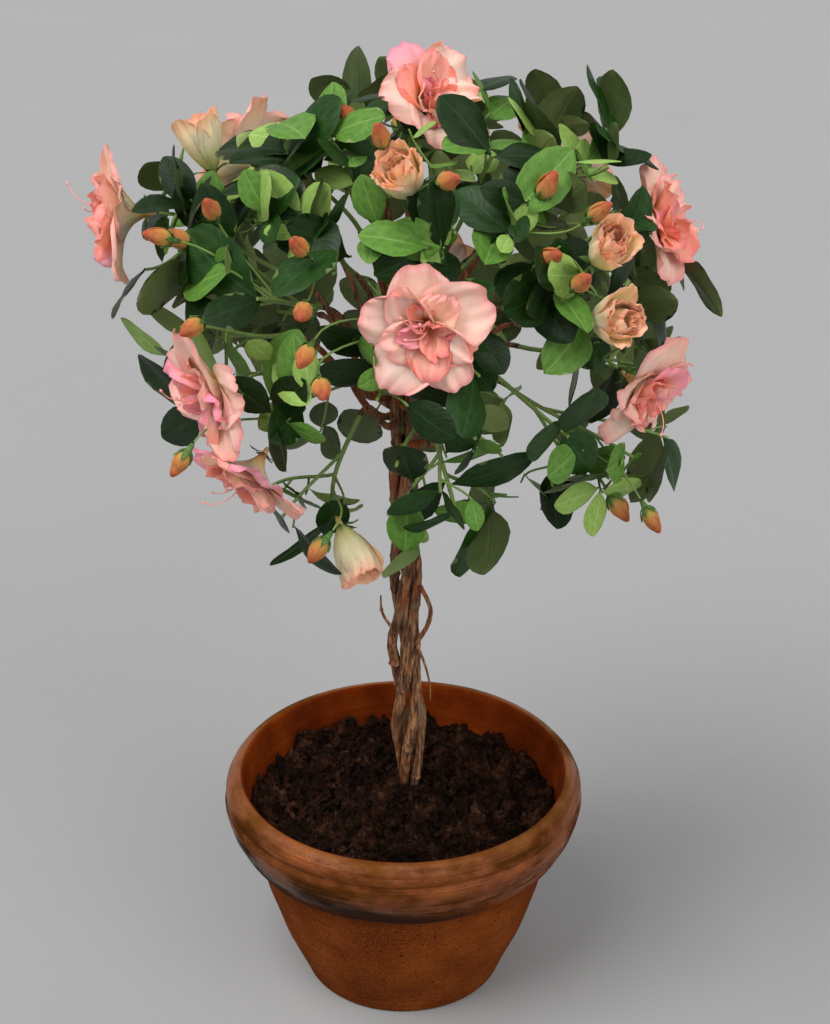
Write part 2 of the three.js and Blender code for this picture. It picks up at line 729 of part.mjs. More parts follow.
// Carry the skin past a whorl: out over the undersides of its leaves and back over their tops.
function skinWhorl(skin, { at, axis, leaves }) {
  const frame = tipFrame(axis);
  const hub = (spin, lean) => (
    skin.put(add(at, scale(bladeWay(axis, frame, spin, lean), HUB_RADIUS))));
  const rims = leaves.map((leaf) => ({ leaf, before: -1, after: -1, between: [] }));
  rims.forEach((rim, i) => {
    const next = rims[(i + 1) % rims.length];
    const wrap = i + 1 < rims.length ? 0 : TURN;
    const gap = next.leaf.spin + wrap - rim.leaf.spin;
    if (gap < 1.6) {
      rim.after = hub(rim.leaf.spin + gap / 2, (rim.leaf.lean + next.leaf.lean) / 2);
      next.before = rim.after;
      return;
    }
    rim.after = hub(rim.leaf.spin + 0.5, rim.leaf.lean);
    rim.between.push(rim.after);
    if (gap > 4) rim.between.push(hub(rim.leaf.spin + gap / 2, rim.leaf.lean));
    next.before = hub(next.leaf.spin - 0.5, next.leaf.lean);
  });
  const under = [];
  const over = [];
  rims.forEach(({ leaf, before, after, between }) => {
    const [, tip, left, right, above, below] = leaf.corners.map((p) => skin.put(p));
    skin.faces.push([before, right, above], [right, tip, above]);
    skin.faces.push([tip, left, above], [left, after, above]);
    skin.faces.push([right, before, below], [tip, right, below]);
    skin.faces.push([left, tip, below], [after, left, below]);
    under.push(before, below, ...between);
    over.push(before, above, ...between);
  });
  skin.grow(under, at, frame, over);
}

function skinTwig(twig) {
  const { points, radii, startWay, tipWay, whorl, lower, flower } = twig;
  const skin = new Skin();
  const last = points.length - 1;
  const ringAt = (centre, way, radius) => (
    circle(centre, tipFrame(way), radius, SHOOT_SIDES).map((p) => skin.put(p)));
  skin.begin(points[0], circle(points[0], tipFrame(startWay), radii[0], SHOOT_SIDES));
  for (let i = 1; i <= last; i++) {
    const way = i === last ? tipWay : unit(minus(points[i + 1], points[i - 1]));
    const here = i === last ? whorl : lower;
    const hasWhorl = i >= last - 1 && here.leaves.length > 0;
    const frame = tipFrame(way);
    if (!hasWhorl) {
      skin.grow(ringAt(points[i], way, radii[i]), points[i], frame);
      continue;
    }
    const below = minus(points[i], scale(way, HUB_HEIGHT));
    const above = add(points[i], scale(way, HUB_HEIGHT));
    skin.grow(ringAt(below, way, radii[i]), below, frame);
    skinWhorl(skin, here);
    if (i < last || flower) skin.grow(ringAt(above, way, radii[i]), above, frame);
  }
  if (flower) {
    const frame = tipFrame(tipWay);
    flower.rings.forEach((ring) => {
      skin.grow(ring.map((p) => skin.put(p)), flower.at, frame);
    });
    skin.close(flower.end);
  } else {
    skin.close(add(points[last], scale(tipWay, HUB_HEIGHT + 0.6)));
  }
  return skin.solid();
}

// A mass whose blades happen to graze one another is grown again from the next seed.
function massSolid(growFrom) {
  for (let turn = 0; turn < 12; turn++) {
    const body = wholeBody(Manifold.union(growFrom(turn).twigs.map(skinTwig)));
    if (body) return body;
  }
  throw new Error("a mass can't be joined into one clean body");
}

// ---------------------------------------------------------------- tidy one closed body
// Near points are drawn together first, so a hollow closed off by that is dropped as well.
// Nothing comes back from a body that stays pinched together along an edge.
function wholeBody(solid) {
  for (const tolerance of [0.3, 0.2, 0.12, 0.06, 0.4]) {
    let body = solid;
    for (const step of [0.02, tolerance]) {
      const parts = body.simplify(step).decompose();
      body = parts.sort((a, b) => b.volume() - a.volume())[0];
    }
    if (everyEdgeHasTwoFaces(body.getMesh())) return body;
  }
  return null;
}

function everyEdgeHasTwoFaces(mesh) {
  const keys = [];
  for (let v = 0; v < mesh.numVert; v++) {
    const p = mesh.vertProperties.slice(v * mesh.numProp, v * mesh.numProp + 3);
    keys.push(Array.from(p, (x) => x.toFixed(3)).join(" "));
  }
  const uses = new Map();
  for (let t = 0; t < mesh.triVerts.length; t += 3) {
    for (let k = 0; k < 3; k++) {
      const a = keys[mesh.triVerts[t + k]];
      const b = keys[mesh.triVerts[t + ((k + 1) % 3)]];
      const edge = a < b ? `${a}|${b}` : `${b}|${a}`;
      uses.set(edge, (uses.get(edge) || 0) + 1);
    }
  }
  return [...uses.values()].every((count) => count === 2);
}

function addNode(group, name, solid, colour) {
  const mesh = solid.getMesh();
  const geometry = new THREE.BufferGeometry();
  const positions = new Float32Array(mesh.numVert * 3);
  for (let v = 0; v < mesh.numVert; v++) {
    for (let k = 0; k < 3; k++) {
      positions[v * 3 + k] = mesh.vertProperties[v * mesh.numProp + k];
    }
  }
  geometry.setAttribute("position", new THREE.BufferAttribute(positions, 3));
  geometry.setIndex(new THREE.BufferAttribute(new Uint32Array(mesh.triVerts), 1));
  geometry.computeVertexNormals();
  const material = new THREE.MeshStandardMaterial({ color: colour, roughness: 0.8 });
  material.name = name;
  const node = new THREE.Mesh(geometry, material);
  node.name = name;
  group.add(node);
}

// ---------------------------------------------------------------- the whole plant
function buildPlant() {
  const group = new THREE.Group();
  group.name = "artificial_azalea_tree";
  const drawLump = seededStream(SOIL_SEED);
  const soilLump = (row) => {
    const smooth = row < SOIL_SMOOTH_ROWS || row === SOIL_PROFILE.length - 1;
    return smooth ? 0 : (drawLump() - 0.5) * 2 * SOIL_ROUGHNESS;
  };
  addNode(group, "pot", turned(POT_PROFILE, POT_SIDES, () => 0), TERRACOTTA);
  addNode(group, "soil", turned(SOIL_PROFILE, SOIL_SIDES, soilLump), PEAT);

  const stems = STEMS.map(stemPath);
  const limbs = [];
  stems.forEach((path, k) => {
    addNode(group, STEMS[k].name, limb(path, STEM_SIDES), BARK);
    limbs.push({ ...path, samples: sampled(path) });
  });
  const bases = MASSES.map((mass) => {
    if (mass.leader !== undefined) return limbs[mass.leader];
    const path = boughPath(mass, stems, limbs);
    limbs.push(path);
    addNode(group, `bough_${mass.name}`, limb(path, BOUGH_SIDES), BARK);
    return path;
  });

  const sites = MASSES.map((mass) => {
    const points = mass.tips.map(([, azimuth, elevation, share]) => (
      crownPoint(azimuth, elevation, share)));
    const heavy = mass.tips[0][0] === "bloom" ? [points[0], points[0]] : [];
    const all = [...points, ...heavy];
    const total = all.reduce(add, [0, 0, 0]);
    return { point: scale(total, 1 / all.length), room: mass.room };
  });
  const limbSamples = limbs.flatMap((path) => path.samples);
  MASSES.forEach((mass, index) => {
    const base = bases[index];
    const tip = base.points[base.points.length - 1];
    const own = limbSamples.filter(([q]) => size(minus(q, tip)) > 0.01);
    const space = makeSpace(index, sites, own);
    const seed = FIRST_SEED + index * SEED_STEP;
    const solid = massSolid((turn) => growMass(mass, tip, base.tipWay, space, seed + turn));
    addNode(group, `foliage_${mass.name}`, solid, LEAF_GREEN);
  });
  return group;
}

export default buildPlant();
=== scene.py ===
"""Looks of an artificial azalea tree: silk crown, twisted vine trunk, terracotta pot.

The plant grows here by the same rule as its solids, in millimetres, and is then carried
on to finer twigs. Everything is turned into metres when its mesh is made.
"""
import math
from types import SimpleNamespace

import bpy
import numpy as np
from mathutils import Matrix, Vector, noise
from numpy.linalg import norm


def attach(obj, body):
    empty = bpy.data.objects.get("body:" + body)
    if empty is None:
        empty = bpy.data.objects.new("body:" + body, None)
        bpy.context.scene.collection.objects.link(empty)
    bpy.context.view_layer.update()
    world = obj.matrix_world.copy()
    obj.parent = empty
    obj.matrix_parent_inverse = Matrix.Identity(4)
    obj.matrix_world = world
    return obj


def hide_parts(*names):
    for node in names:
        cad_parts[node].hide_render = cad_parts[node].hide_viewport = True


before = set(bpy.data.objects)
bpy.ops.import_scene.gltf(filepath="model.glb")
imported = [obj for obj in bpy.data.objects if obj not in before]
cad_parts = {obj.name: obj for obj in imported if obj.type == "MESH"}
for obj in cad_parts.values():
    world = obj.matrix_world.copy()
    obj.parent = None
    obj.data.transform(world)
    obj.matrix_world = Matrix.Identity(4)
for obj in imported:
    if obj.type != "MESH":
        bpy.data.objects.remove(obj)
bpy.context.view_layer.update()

TURN = 2 * math.pi
METRE = 0.001
ROOT_BODY = "root"
LOCAL_MAP = "OFBake"  # map of each leaf's or petal's own coordinates

# ---------------------------------------------------------------- sizes of the solids
CLEARANCE = 0.3
SOIL_TOP = 132
TRUNK_BASE = np.array([4.5, 0, SOIL_TOP + CLEARANCE])
TRUNK_FORK = np.array([0.4, 0, 381])
TWIST_TURNS = 1.05
HELIX_STEPS = 15
LEADER_STEPS = 6
STEM_TIP_RADIUS = 1.9
# Along the twist: share of the height, stem radius, distance of the stem from the axis.
TWIST_SHAPE = [
    (0.0, 2.55, 4.1), (0.1, 2.9, 6.2), (0.2, 3.1, 8.5), (0.38, 3.1, 4.9),
    (0.5, 3.0, 5.4), (0.62, 3.0, 7.0), (0.78, 2.9, 5.8), (1.0, 2.9, 5.6),
]
TWIST_SHARES, TWIST_RADII, TWIST_REACHES = zip(*TWIST_SHAPE)
# Node, heading at the fork, extra bow of a loose loop, its place, and the leader's end.
STEMS = [
    ("stem_front_left", 228, 0, 0.5, (228, 57, 0.42)),
    ("stem_front_right", 318, 0, 0.5, (308, 54, 0.42)),
    ("stem_back_right", 48, 4.5, 0.45, (88, 60, 0.42)),
    ("stem_back_left", 138, 0, 0.5, (150, 78, 0.42)),
]

CROWN_CENTRE = np.array([3, 0, 461.0])
CROWN_HALF = np.array([188, 188, 160.0])
# Growth stays within the first share of the crown's half sizes, and boughs end at the second.
CROWN_REACH = 1.1
BOUGH_SHARE = 0.4
BOUGH_STEPS = 5
BOUGH_RADIUS = (2.3, 1.5)
# Room between two limbs, and from a mass to the border of its own space.
LIMB_ROOM = 1.4
CELL_MARGIN = 0.5
SHOOT_STEPS = 4
TWIG_STEPS = 3
SHOOT_RADIUS = (1.5, 1.1)
TWIG_RADIUS = (1.15, 0.95)
LEAF_LENGTH = (33, 48)
LEAF_WIDTH = 0.56
LEAF_CUP = 0.05
LEAVES_PER_TIP = 5
LEAVES_LOWER = 2
# How far a twig ends before its tip's place, as a share of the crown's reach.
TIP_BACK = 0.08
SAMPLE_SPACING = 4
# What is tried in turn on a leaf that doesn't fit: shares of its lean and of its length.
FOLDS = [(1, 1), (0.75, 0.88), (1.2, 0.85), (0.5, 0.75), (0.8, 0.62)]
# Sizes that are tried in turn on a flower that doesn't fit.
FLOWER_SIZES = [1, 0.94, 0.88, 0.8, 0.7, 0.58]
# How far a curve keeps its first and last direction, as a share of its span.
CURVE_PULL = 0.36
# Share of the trunk's height over which a stem's loose loop bows out.
BOW_REACH = 0.09
# A bough looks for its start near this height over the fork, and higher for a high heading.
BOUGH_RISE = 8
BOUGH_SLOPE = 0.9
LOWEST_HEADING = -20
# Starts tried on each step of a leader, and what a detour and a millimetre of length cost.
BOUGH_TRIES = 4
DETOUR_COST = 40
LENGTH_COST = 0.25
# A bough may touch its own leader this near to its start.
BOUGH_FOOT = 9
# Where a blade is widest, and how far its ridge stands out, as shares of its length.
BLADE_HEART = 0.54
BLADE_RIDGE = 0.015
# Samples on a blade: rows along it, and places across it.
BLADE_ROWS = 6
BLADE_PLACES = (-0.8, -0.4, 0, 0.4, 0.8)
# What may touch near a leaf's foot: its first rows of samples, and the twig within this reach.
FOOT_ROWS = 2
FOOT_ROOM = 7
# Leaves of a whorl: least lean (radians) and droop, each with how much more there may be,
# and how far the leaves stray about the twig (radians).
WHORL_LEAN = (1.05, 0.4)
WHORL_DROOP = (0.04, 0.14)
WHORL_STRAY = 0.24
# Where the later twigs leave the shoot, how far they drift on, and their room to limbs.
TWIG_STARTS = (0.12, 0.8)
TWIG_DRIFT = 0.4
TWIG_ROOM = 2
# Rings of a flower's solid from this one on are turned by half a lobe.
TURNED_FROM = 3
# A limb's sample this near to a shoot's start is the tip that bears the shoot.
OWN_LIMB = 0.01
FIRST_SEED = 1000
SEED_STEP = 37
DRESSING_SEED = 90210
CRUMB_SEED = 4243
# Room that a leaf keeps from limbs, from green twigs and from other leaves.
CAD_ROOMS = SimpleNamespace(limb=3.3, twig=2.4, blade=3.2)
FINE_ROOMS = SimpleNamespace(limb=2.0, twig=0.9, blade=1.5)

# Each mass: its own leader or a bough's heading, extra space, and its tips. A tip is azimuth,
# elevation and share of the crown's reach. Before them stands the kind of a flower or bud,
# and after them the way it faces; every other tip bears leaves.
MASSES = [
    ("top", 3, 2100, [("bloom", 330, 86, 0.84, 318, 42), (120, 66, 0.86), (215, 74, 0.82),
        (20, 66, 0.84)]),
    ("top_left", 0, 700, [(216, 54, 0.88), (246, 58, 0.86), ("bud", 238, 66, 0.92, 240, 50),
        (186, 50, 0.84)]),
    ("top_right", 1, 1200, [(308, 56, 0.88), (282, 58, 0.84), (340, 52, 0.86)]),
    ("back_top", 2, 0, [(88, 56, 0.86), (60, 50, 0.84), (118, 48, 0.84), (90, 40, 0.86)]),
    ("right_crest_high", (12, 40), 0, [(4, 42, 0.98), (32, 44, 0.88), (344, 40, 0.94)]),
    ("right_crest", (3, 18), 1200, [("bloom", 3, 21, 0.87, 338, 14), (2, 9, 0.92),
        (344, 22, 0.84), (20, 14, 0.84)]),
    ("right", (328, -4), 2400, [("bloom", 328, -4, 0.86, 318, -24), (346, -8, 0.8),
        (335, 10, 0.8)]),
    ("right_face", (318, 16), 2800, [("half", 316, 13, 0.86, 300, 18),
        ("half", 321, 25, 0.88, 290, 40), (308, 22, 0.84), ("bud", 304, 28, 0.9, 300, 30)]),
    ("right_upper_face", (304, 38), 2000, [(302, 40, 0.86), (322, 40, 0.86), (298, 30, 0.84),
        ("bud", 312, 42, 0.92, 330, 60)]),
    ("centre", (272, 12), 2300, [("bloom", 275, 18, 0.84, 262, 4), (264, 2, 0.84), (286, 6, 0.82),
        (258, 14, 0.8)]),
    ("upper_face", (272, 40), 1300, [("half", 271, 48, 0.88, 250, 46), (262, 40, 0.86),
        (284, 38, 0.84), (272, 30, 0.82)]),
    ("left_upper_face", (240, 36), 1000, [(242, 40, 0.88), (224, 36, 0.86), (252, 28, 0.84)]),
    ("left_face", (228, 18), 1000, [(236, 20, 0.88), (222, 27, 0.86),
        ("bud", 246, 16, 0.92, 240, 10), (207, 18, 0.84), ("bud", 212, 26, 0.94, 210, 30)]),
    ("left_crest", (182, 20), 1200, [("bloom", 178, 21, 0.97, 196, 4),
        ("half", 170, 36, 0.88, 150, 72), (194, 28, 0.88), (180, 10, 0.9)]),
    ("left_low", (226, -8), 5600, [("bloom", 233, -19, 0.84, 222, -44),
        ("bloom", 228, -1, 0.84, 214, -12), (208, -16, 0.84), (246, -4, 0.8)]),
    ("left_edge", (192, -6), 0, [(190, 0, 0.76), (174, -10, 0.76), (196, -16, 0.72)]),
    ("centre_low", (276, -12), 600, [(284, -6, 0.88), (268, -12, 0.88), (278, -22, 0.86),
        (292, -14, 0.84)]),
    ("right_low_face", (304, -6), 600, [(306, -10, 0.88), (300, 4, 0.86), (314, 2, 0.84),
        (312, -20, 0.86)]),
    ("right_low_spray", (334, -28), 1400, [(334, -24, 0.94), (346, -22, 1.0),
        ("bud", 332, -34, 1.0, 330, -50), (320, -36, 0.84)]),
    ("low_centre_spray", (284, -38), 0, [(284, -34, 0.86), (268, -36, 0.84), (304, -44, 0.8)]),
    ("low_left_spray", (240, -40), 2600, [("half", 248, -46, 0.88, 300, -40), (232, -38, 0.9),
        (214, -42, 0.84)]),
    ("back_right_high", (44, 24), 900, [("bloom", 42, 28, 0.84, 42, 24), (60, 22, 0.84),
        (30, 14, 0.82), (50, 8, 0.86)]),
    ("back_high", (90, 20), 0, [(90, 22, 0.88), (76, 12, 0.86), (104, 14, 0.86),
        ("bud", 92, 30, 0.92, 90, 40)]),
    ("back_left_high", (136, 24), 900, [("bloom", 138, 28, 0.84, 138, 24), (122, 20, 0.84),
        (152, 16, 0.82), (134, 8, 0.86)]),
    ("back_right", (24, -14), 0, [(22, -10, 0.88), (38, -16, 0.86), (12, -24, 0.84)]),
    ("back_middle", (84, -14), 900, [("bloom", 84, -12, 0.84, 84, -14), (66, -12, 0.86),
        (100, -20, 0.84), (74, -26, 0.84)]),
    ("back_left", (140, -14), 0, [(140, -12, 0.84), (122, -14, 0.86), (154, -20, 0.78)]),
    ("back_low", (96, -42), 900, [(96, -42, 0.84), (140, -42, 0.82), (50, -42, 0.82)]),
]


def full_tip(tip):
    """A tip of a mass with its kind."""
    return tip if isinstance(tip[0], str) else ("leaves", *tip)


# ---------------------------------------------------------------- small vector helpers
def unit(a):
    return a / norm(a)


def mix(a, b, t):
    return a + (b - a) * t


def square_to(a, n):
    """The part of a that is square to the unit vector n, at unit length."""
    return unit(a - n * np.dot(a, n))


def spread(values, t):
    """Value at t of a table of (t, value) rows."""
    return np.interp(t, *zip(*values))


def seeded_stream(seed):
    state = seed

    def draw():
        nonlocal state
        state = (state * 16807) % 2147483647
        return state / 2147483647
    return draw


def direction(azimuth, elevation):
    a, e = math.radians(azimuth), math.radians(elevation)
    return np.array([math.cos(e) * math.cos(a), math.cos(e) * math.sin(a), math.sin(e)])


def level_way(a):
    return np.array([math.cos(a), math.sin(a), 0])


def crown_point(azimuth, elevation, share):
    way = direction(azimuth, elevation)
    return CROWN_CENTRE + way * share / norm(way / CROWN_HALF)


def curve(start, start_way, end, end_way, steps):
    """Points on a cubic curve that leaves start along start_way and ends along end_way."""
    pull = norm(end - start) * CURVE_PULL
    a = start + start_way * pull
    b = end - end_way * pull
    t = np.linspace(0, 1, steps + 1)[:, None]
    return start * (1 - t) ** 3 + 3 * a * t * (1 - t) ** 2 + 3 * b * t ** 2 * (1 - t) + end * t ** 3


def any_square(axis):
    """Two directions square to an axis."""
    first = square_to(np.array([1.0, 0, 0]) if abs(axis[2]) > 0.8 else np.array([0, 0, 1.0]), axis)
    return first, np.cross(axis, first)


def lean_way(axis, sides, spin, lean):
    around = sides[0] * math.cos(spin) + sides[1] * math.sin(spin)
    return axis * math.cos(lean) + around * math.sin(lean)


# ---------------------------------------------------------------- stems and boughs
def stem_path(stem, fineness=1):
    """Path of a stem up the twist and on as a leader; fineness multiplies its steps."""
    _, heading, bow, bow_at, tip = stem
    points, radii = [], []
    steps = HELIX_STEPS * fineness
    for i in range(steps + 1):
        share = i / steps
        distance = np.interp(share, TWIST_SHARES, TWIST_REACHES)
        distance += bow * math.exp(-((share - bow_at) / BOW_REACH) ** 2)
        a = math.radians(heading) - (1 - share) * TWIST_TURNS * TURN
        points.append(mix(TRUNK_BASE, TRUNK_FORK, share) + distance * level_way(a))
        radii.append(np.interp(share, TWIST_SHARES, TWIST_RADII))
    fork = points[-1]
    coarse_back = points[-1 - fineness]
    way = unit(unit(fork - coarse_back) + np.array([0, 0, 1.0]))
    end = crown_point(*tip)
    outward = unit(end - CROWN_CENTRE)
    leader = curve(fork, way, end, outward, LEADER_STEPS * fineness)
    for i in range(1, len(leader)):
        points.append(leader[i])
        radii.append(mix(radii[steps], STEM_TIP_RADIUS, i / (len(leader) - 1)))
    return SimpleNamespace(points=np.array(points), radii=np.array(radii), tip_way=outward)


def sampled(points, radii):
    """Evenly spaced points and radii along a limb."""
    places, sizes = [], []
    for i in range(1, len(points)):
        count = math.ceil(norm(points[i] - points[i - 1]) / SAMPLE_SPACING)
        for k in range(count):
            places.append(mix(points[i - 1], points[i], k / count))
            sizes.append(mix(radii[i - 1], radii[i], k / count))
    return np.array(places + [points[-1]]), np.array(sizes + [radii[-1]])


def room_between(places, sizes, other):
    gaps = norm(places[:, None] - other.places[None], axis=2)
    return (gaps - sizes[:, None] - other.sizes[None]).min()


def bough_path(heading, stems, limbs):
    """A bough leaves a leader at the first place that is clear of every other limb."""
    azimuth, elevation = heading
    end = crown_point(azimuth, elevation, BOUGH_SHARE)
    end_way = unit(end - CROWN_CENTRE)
    wanted = TRUNK_FORK[2] + BOUGH_RISE + max(0, elevation - LOWEST_HEADING) * BOUGH_SLOPE
    starts = []
    for index, stem in enumerate(stems):
        for i in range(LEADER_STEPS * BOUGH_TRIES):
            step = HELIX_STEPS + i // BOUGH_TRIES
            t = (i % BOUGH_TRIES) / BOUGH_TRIES
            a, b = stem.points[step], stem.points[step + 1]
            place = mix(a, b, t)
            radius = mix(stem.radii[step], stem.radii[step + 1], t)
            toward = square_to(end - place, unit(b - a))
            start = place + toward * (radius + CLEARANCE)
            detour = 1 - np.dot(toward, unit(end - place))
            cost = abs(place[2] - wanted) + detour * DETOUR_COST
            cost += norm(end - start) * LENGTH_COST
            starts.append((cost, index, start, toward))
    for _, index, start, toward in sorted(starts, key=lambda row: row[0]):
        points = curve(start, toward, end, end_way, BOUGH_STEPS)
        radii = np.linspace(*BOUGH_RADIUS, BOUGH_STEPS + 1)
        places, sizes = sampled(points, radii)
        away = norm(places - start, axis=1) > BOUGH_FOOT
        clear = all(
            room_between(places[away], sizes[away], other) > LIMB_ROOM if k == index
            else room_between(places, sizes, other) > LIMB_ROOM
            for k, other in enumerate(limbs))
        if clear:
            return SimpleNamespace(
                points=points, radii=radii, start_way=toward, tip_way=end_way,
                places=places, sizes=sizes)
    raise ValueError("no clear start for a bough")


# ---------------------------------------------------------------- foliage masses
class Space:
    """Where a mass may grow: nearer its own site than any other, and off the limbs."""

    def __init__(self, index, sites, limb_places, limb_sizes):
        own, own_room = sites[index]
        others = [site for k, site in enumerate(sites) if k != index]
        between = np.array([point - own for point, _ in others])
        spans = norm(between, axis=1)
        rooms = np.array([room for _, room in others])
        self.ways = between / spans[:, None]
        share = 0.5 * spans + (own_room - rooms) / (2 * spans)
        self.limits = self.ways @ own + share - CELL_MARGIN
        self.limb_places = limb_places
        self.limb_sizes = limb_sizes

    def holds(self, points):
        reach = norm((points - CROWN_CENTRE) / CROWN_HALF, axis=1)
        return bool((reach < CROWN_REACH).all() and (points @ self.ways.T < self.limits).all())

    def off_limbs(self, points, room):
        gaps = norm(points[:, None] - self.limb_places[None], axis=2)
        return bool((gaps > self.limb_sizes + room).all())


def blade_corners(root, way, up, droop, length):
    """Root, tip, two sides, and the ridge above and below, as on the solid's leaf."""
    side = np.cross(up, way)
    middle = root + way * length * BLADE_HEART
    lift = up * length * LEAF_CUP
    half = length * LEAF_WIDTH * 0.5
    ridge = up * length * BLADE_RIDGE
    return np.array([
        root, root + way * length - up * length * droop,
        middle + side * half + lift, middle - side * half + lift, middle + ridge, middle - ridge])


def blade_samples(corners):
    """Points spread over a blade, from root to tip in rows across it."""
    root, tip, left, right = corners[:4]
    heart = mix(root, tip, 0.5)
    samples = []
    for i in range(1, BLADE_ROWS + 1):
        t = i / BLADE_ROWS
        width = 1 - abs(2 * t - 1)
        for s in BLADE_PLACES:
            toward = (left if s < 0 else right) - heart
            samples.append(mix(root, tip, t) + toward * abs(s) * width)
    return np.array(samples)


def nearest(points, others):
    if not len(others):
        return math.inf
    return norm(points[:, None] - others[None], axis=2).min()


def place_blade(space, grown, at, axis, leaf, rooms):
    """Folds a leaf in and shortens it until it fits its space, or gives it up."""
    sides = any_square(axis)
    off = norm(grown.twig_places - at, axis=1) > FOOT_ROOM
    twigs = grown.twig_places[off]
    for fold, shrink in FOLDS:
        lean = leaf.lean * fold
        way = lean_way(axis, sides, leaf.spin, lean)
        face = square_to(axis, way)
        length = leaf.length * shrink
        corners = blade_corners(at, way, face, leaf.droop, length)
        samples = blade_samples(corners)
        outer = samples[FOOT_ROWS * len(BLADE_PLACES):]
        if not space.holds(corners) or not space.off_limbs(samples, rooms.limb):
            continue
        if nearest(outer, twigs) <= rooms.twig:
            continue
        if any(nearest(outer, other) <= rooms.blade for other in grown.blades):
            continue
        grown.blades.append(outer)
        return SimpleNamespace(
            at=at, way=way, face=face, length=length, droop=leaf.droop, axis=axis)
    return None


def grow_whorl(grown, space, draw, at, axis, count, lengths, rooms):
    turn = draw() * TURN
    for i in range(count):
        spin = turn + (i / count) * TURN + (draw() - 0.5) * WHORL_STRAY
        length = mix(*lengths, draw())
        lean = WHORL_LEAN[0] + draw() * WHORL_LEAN[1]
        droop = WHORL_DROOP[0] + draw() * WHORL_DROOP[1]
        leaf = SimpleNamespace(spin=spin, length=length, lean=lean, droop=droop)
        placed = place_blade(space, grown, at, axis, leaf, rooms)
        if placed:
            grown.leaves.append(placed)


# Lobes of a flower's solid, its rings (radius of lobe and notch, rise of both), the leaves
# of its whorl, and how far that stands behind it.
FLOWER_SOLIDS = {
    "bloom": (6, [(2.6, 2.6, -4, -4), (16, 13, 3, 2), (39, 28, 14, 8), (25, 21, 14, 11),
                  (23, 16, 27, 22), (7, 6, 12, 12)], 4, 11),
    "half": (4, [(2.4, 2.4, -4, -4), (12, 11, 8, 8), (19, 14, 26, 22), (9, 8, 25, 22)], 4, 10),
    "bud": (3, [(1.8, 1.8, -3, -3), (4.4, 4.0, 4, 4), (3.4, 3.0, 11, 11)], 0, 10),
}


def grow_flower(grown, space, draw, kind, at, axis):
    """A flower is drawn in, down to a little over half its size, until it fits."""
    lobes, rings = FLOWER_SOLIDS[kind][:2]
    sides = any_square(axis)
    turn = draw() * TURN
    for shrink in FLOWER_SIZES:
        points = []
        for row, (lobe, notch, lobe_rise, notch_rise) in enumerate(rings):
            for s in range(lobes * 2):
                out = s % 2 == 0
                spin = turn + ((s + (row >= TURNED_FROM)) / (lobes * 2)) * TURN
                way = lean_way(axis, sides, spin, TURN / 4) * (lobe if out else notch)
                points.append(at + (way + axis * (lobe_rise if out else notch_rise)) * shrink)
        points = np.array(points)
        if space.holds(points) and space.off_limbs(points, CAD_ROOMS.limb):
            grown.blades.append(points[lobes * 2:])
            grown.flowers.append(SimpleNamespace(
                kind=kind, at=at, axis=axis, turn=turn, shrink=shrink))
            return


def along_twig(twig, share):
    """Point on a twig and its direction, at a share of its steps."""
    along = share * (len(twig.points) - 1)
    step = min(int(along), len(twig.points) - 2)
    a, b = twig.points[step], twig.points[step + 1]
    return mix(a, b, along - step), unit(b - a)


def grow_mass(tips, base, base_way, space, seed):
    """One shoot runs to the first tip; the other twigs leave it in turn."""
    draw = seeded_stream(seed)
    grown = SimpleNamespace(
        twigs=[], blades=[], leaves=[], flowers=[], twig_places=np.zeros((0, 3)))
    start = base + base_way * CLEARANCE
    for index, tip in enumerate(tips):
        kind, azimuth, elevation, share = tip[:4]
        at = crown_point(azimuth, elevation, share - TIP_BACK)
        face = direction(*tip[4:]) if len(tip) > 4 else unit(at - CROWN_CENTRE)
        flower = FLOWER_SOLIDS.get(kind)
        end = at - face * flower[3] if flower else at
        steps, taper = (SHOOT_STEPS, SHOOT_RADIUS) if index == 0 else (TWIG_STEPS, TWIG_RADIUS)
        origin, way = start, base_way
        if index > 0:
            origin, _ = along_twig(grown.twigs[0], mix(*TWIG_STARTS, index / len(tips)))
            way = unit(end - origin)
        tip_way = face if flower else unit(face + way * TWIG_DRIFT)
        points = curve(origin, way, end, tip_way, steps)
        clear = space.holds(points[1:]) and space.off_limbs(points[1:], TWIG_ROOM)
        if index > 0 and not clear:
            continue
        radii = np.linspace(*taper, steps + 1)
        grown.twigs.append(SimpleNamespace(
            kind=kind, points=points, radii=radii, tip_way=tip_way, at=at,
            ends=(origin, way, end, tip_way)))
        grown.twig_places = np.vstack([grown.twig_places, sampled(points, radii)[0]])
    for twig in grown.twigs:
        flower = FLOWER_SOLIDS.get(twig.kind)
        if flower:
            grow_flower(grown, space, draw, twig.kind, twig.at, twig.tip_way)
        count = flower[2] if flower else LEAVES_PER_TIP
        grow_whorl(
            grown, space, draw, twig.points[-1], twig.tip_way, count, LEAF_LENGTH, CAD_ROOMS)
    for twig in grown.twigs:
        way = unit(twig.points[-1] - twig.points[-3])
        count = LEAVES_LOWER if twig.kind == "leaves" else 0
        grow_whorl(grown, space, draw, twig.points[-2], way, count, LEAF_LENGTH, CAD_ROOMS)
    grow_finer(grown, space, draw)
    return grown


# ---------------------------------------------------------------- finer twigs
FINE_PLACES = [0.36, 0.6, 0.82]
FINE_REACH = (12, 30)
FINE_LENGTH = (25, 43)
FINE_RADIUS = (0.8, 0.6)
FINE_LEAVES = 4
FINE_STEPS = 3
FINE_ROOM = 1.6
# How much a side twig follows its twig, the way out of the crown, and any way across.
FINE_WAYS = (0.35, 0.55, 0.9)
FINE_TIP = 0.8
# Where a bud's thread leaves the shoot, and the size of such a bud.
THREAD_START = 0.7
THREAD_BUD = 0.9
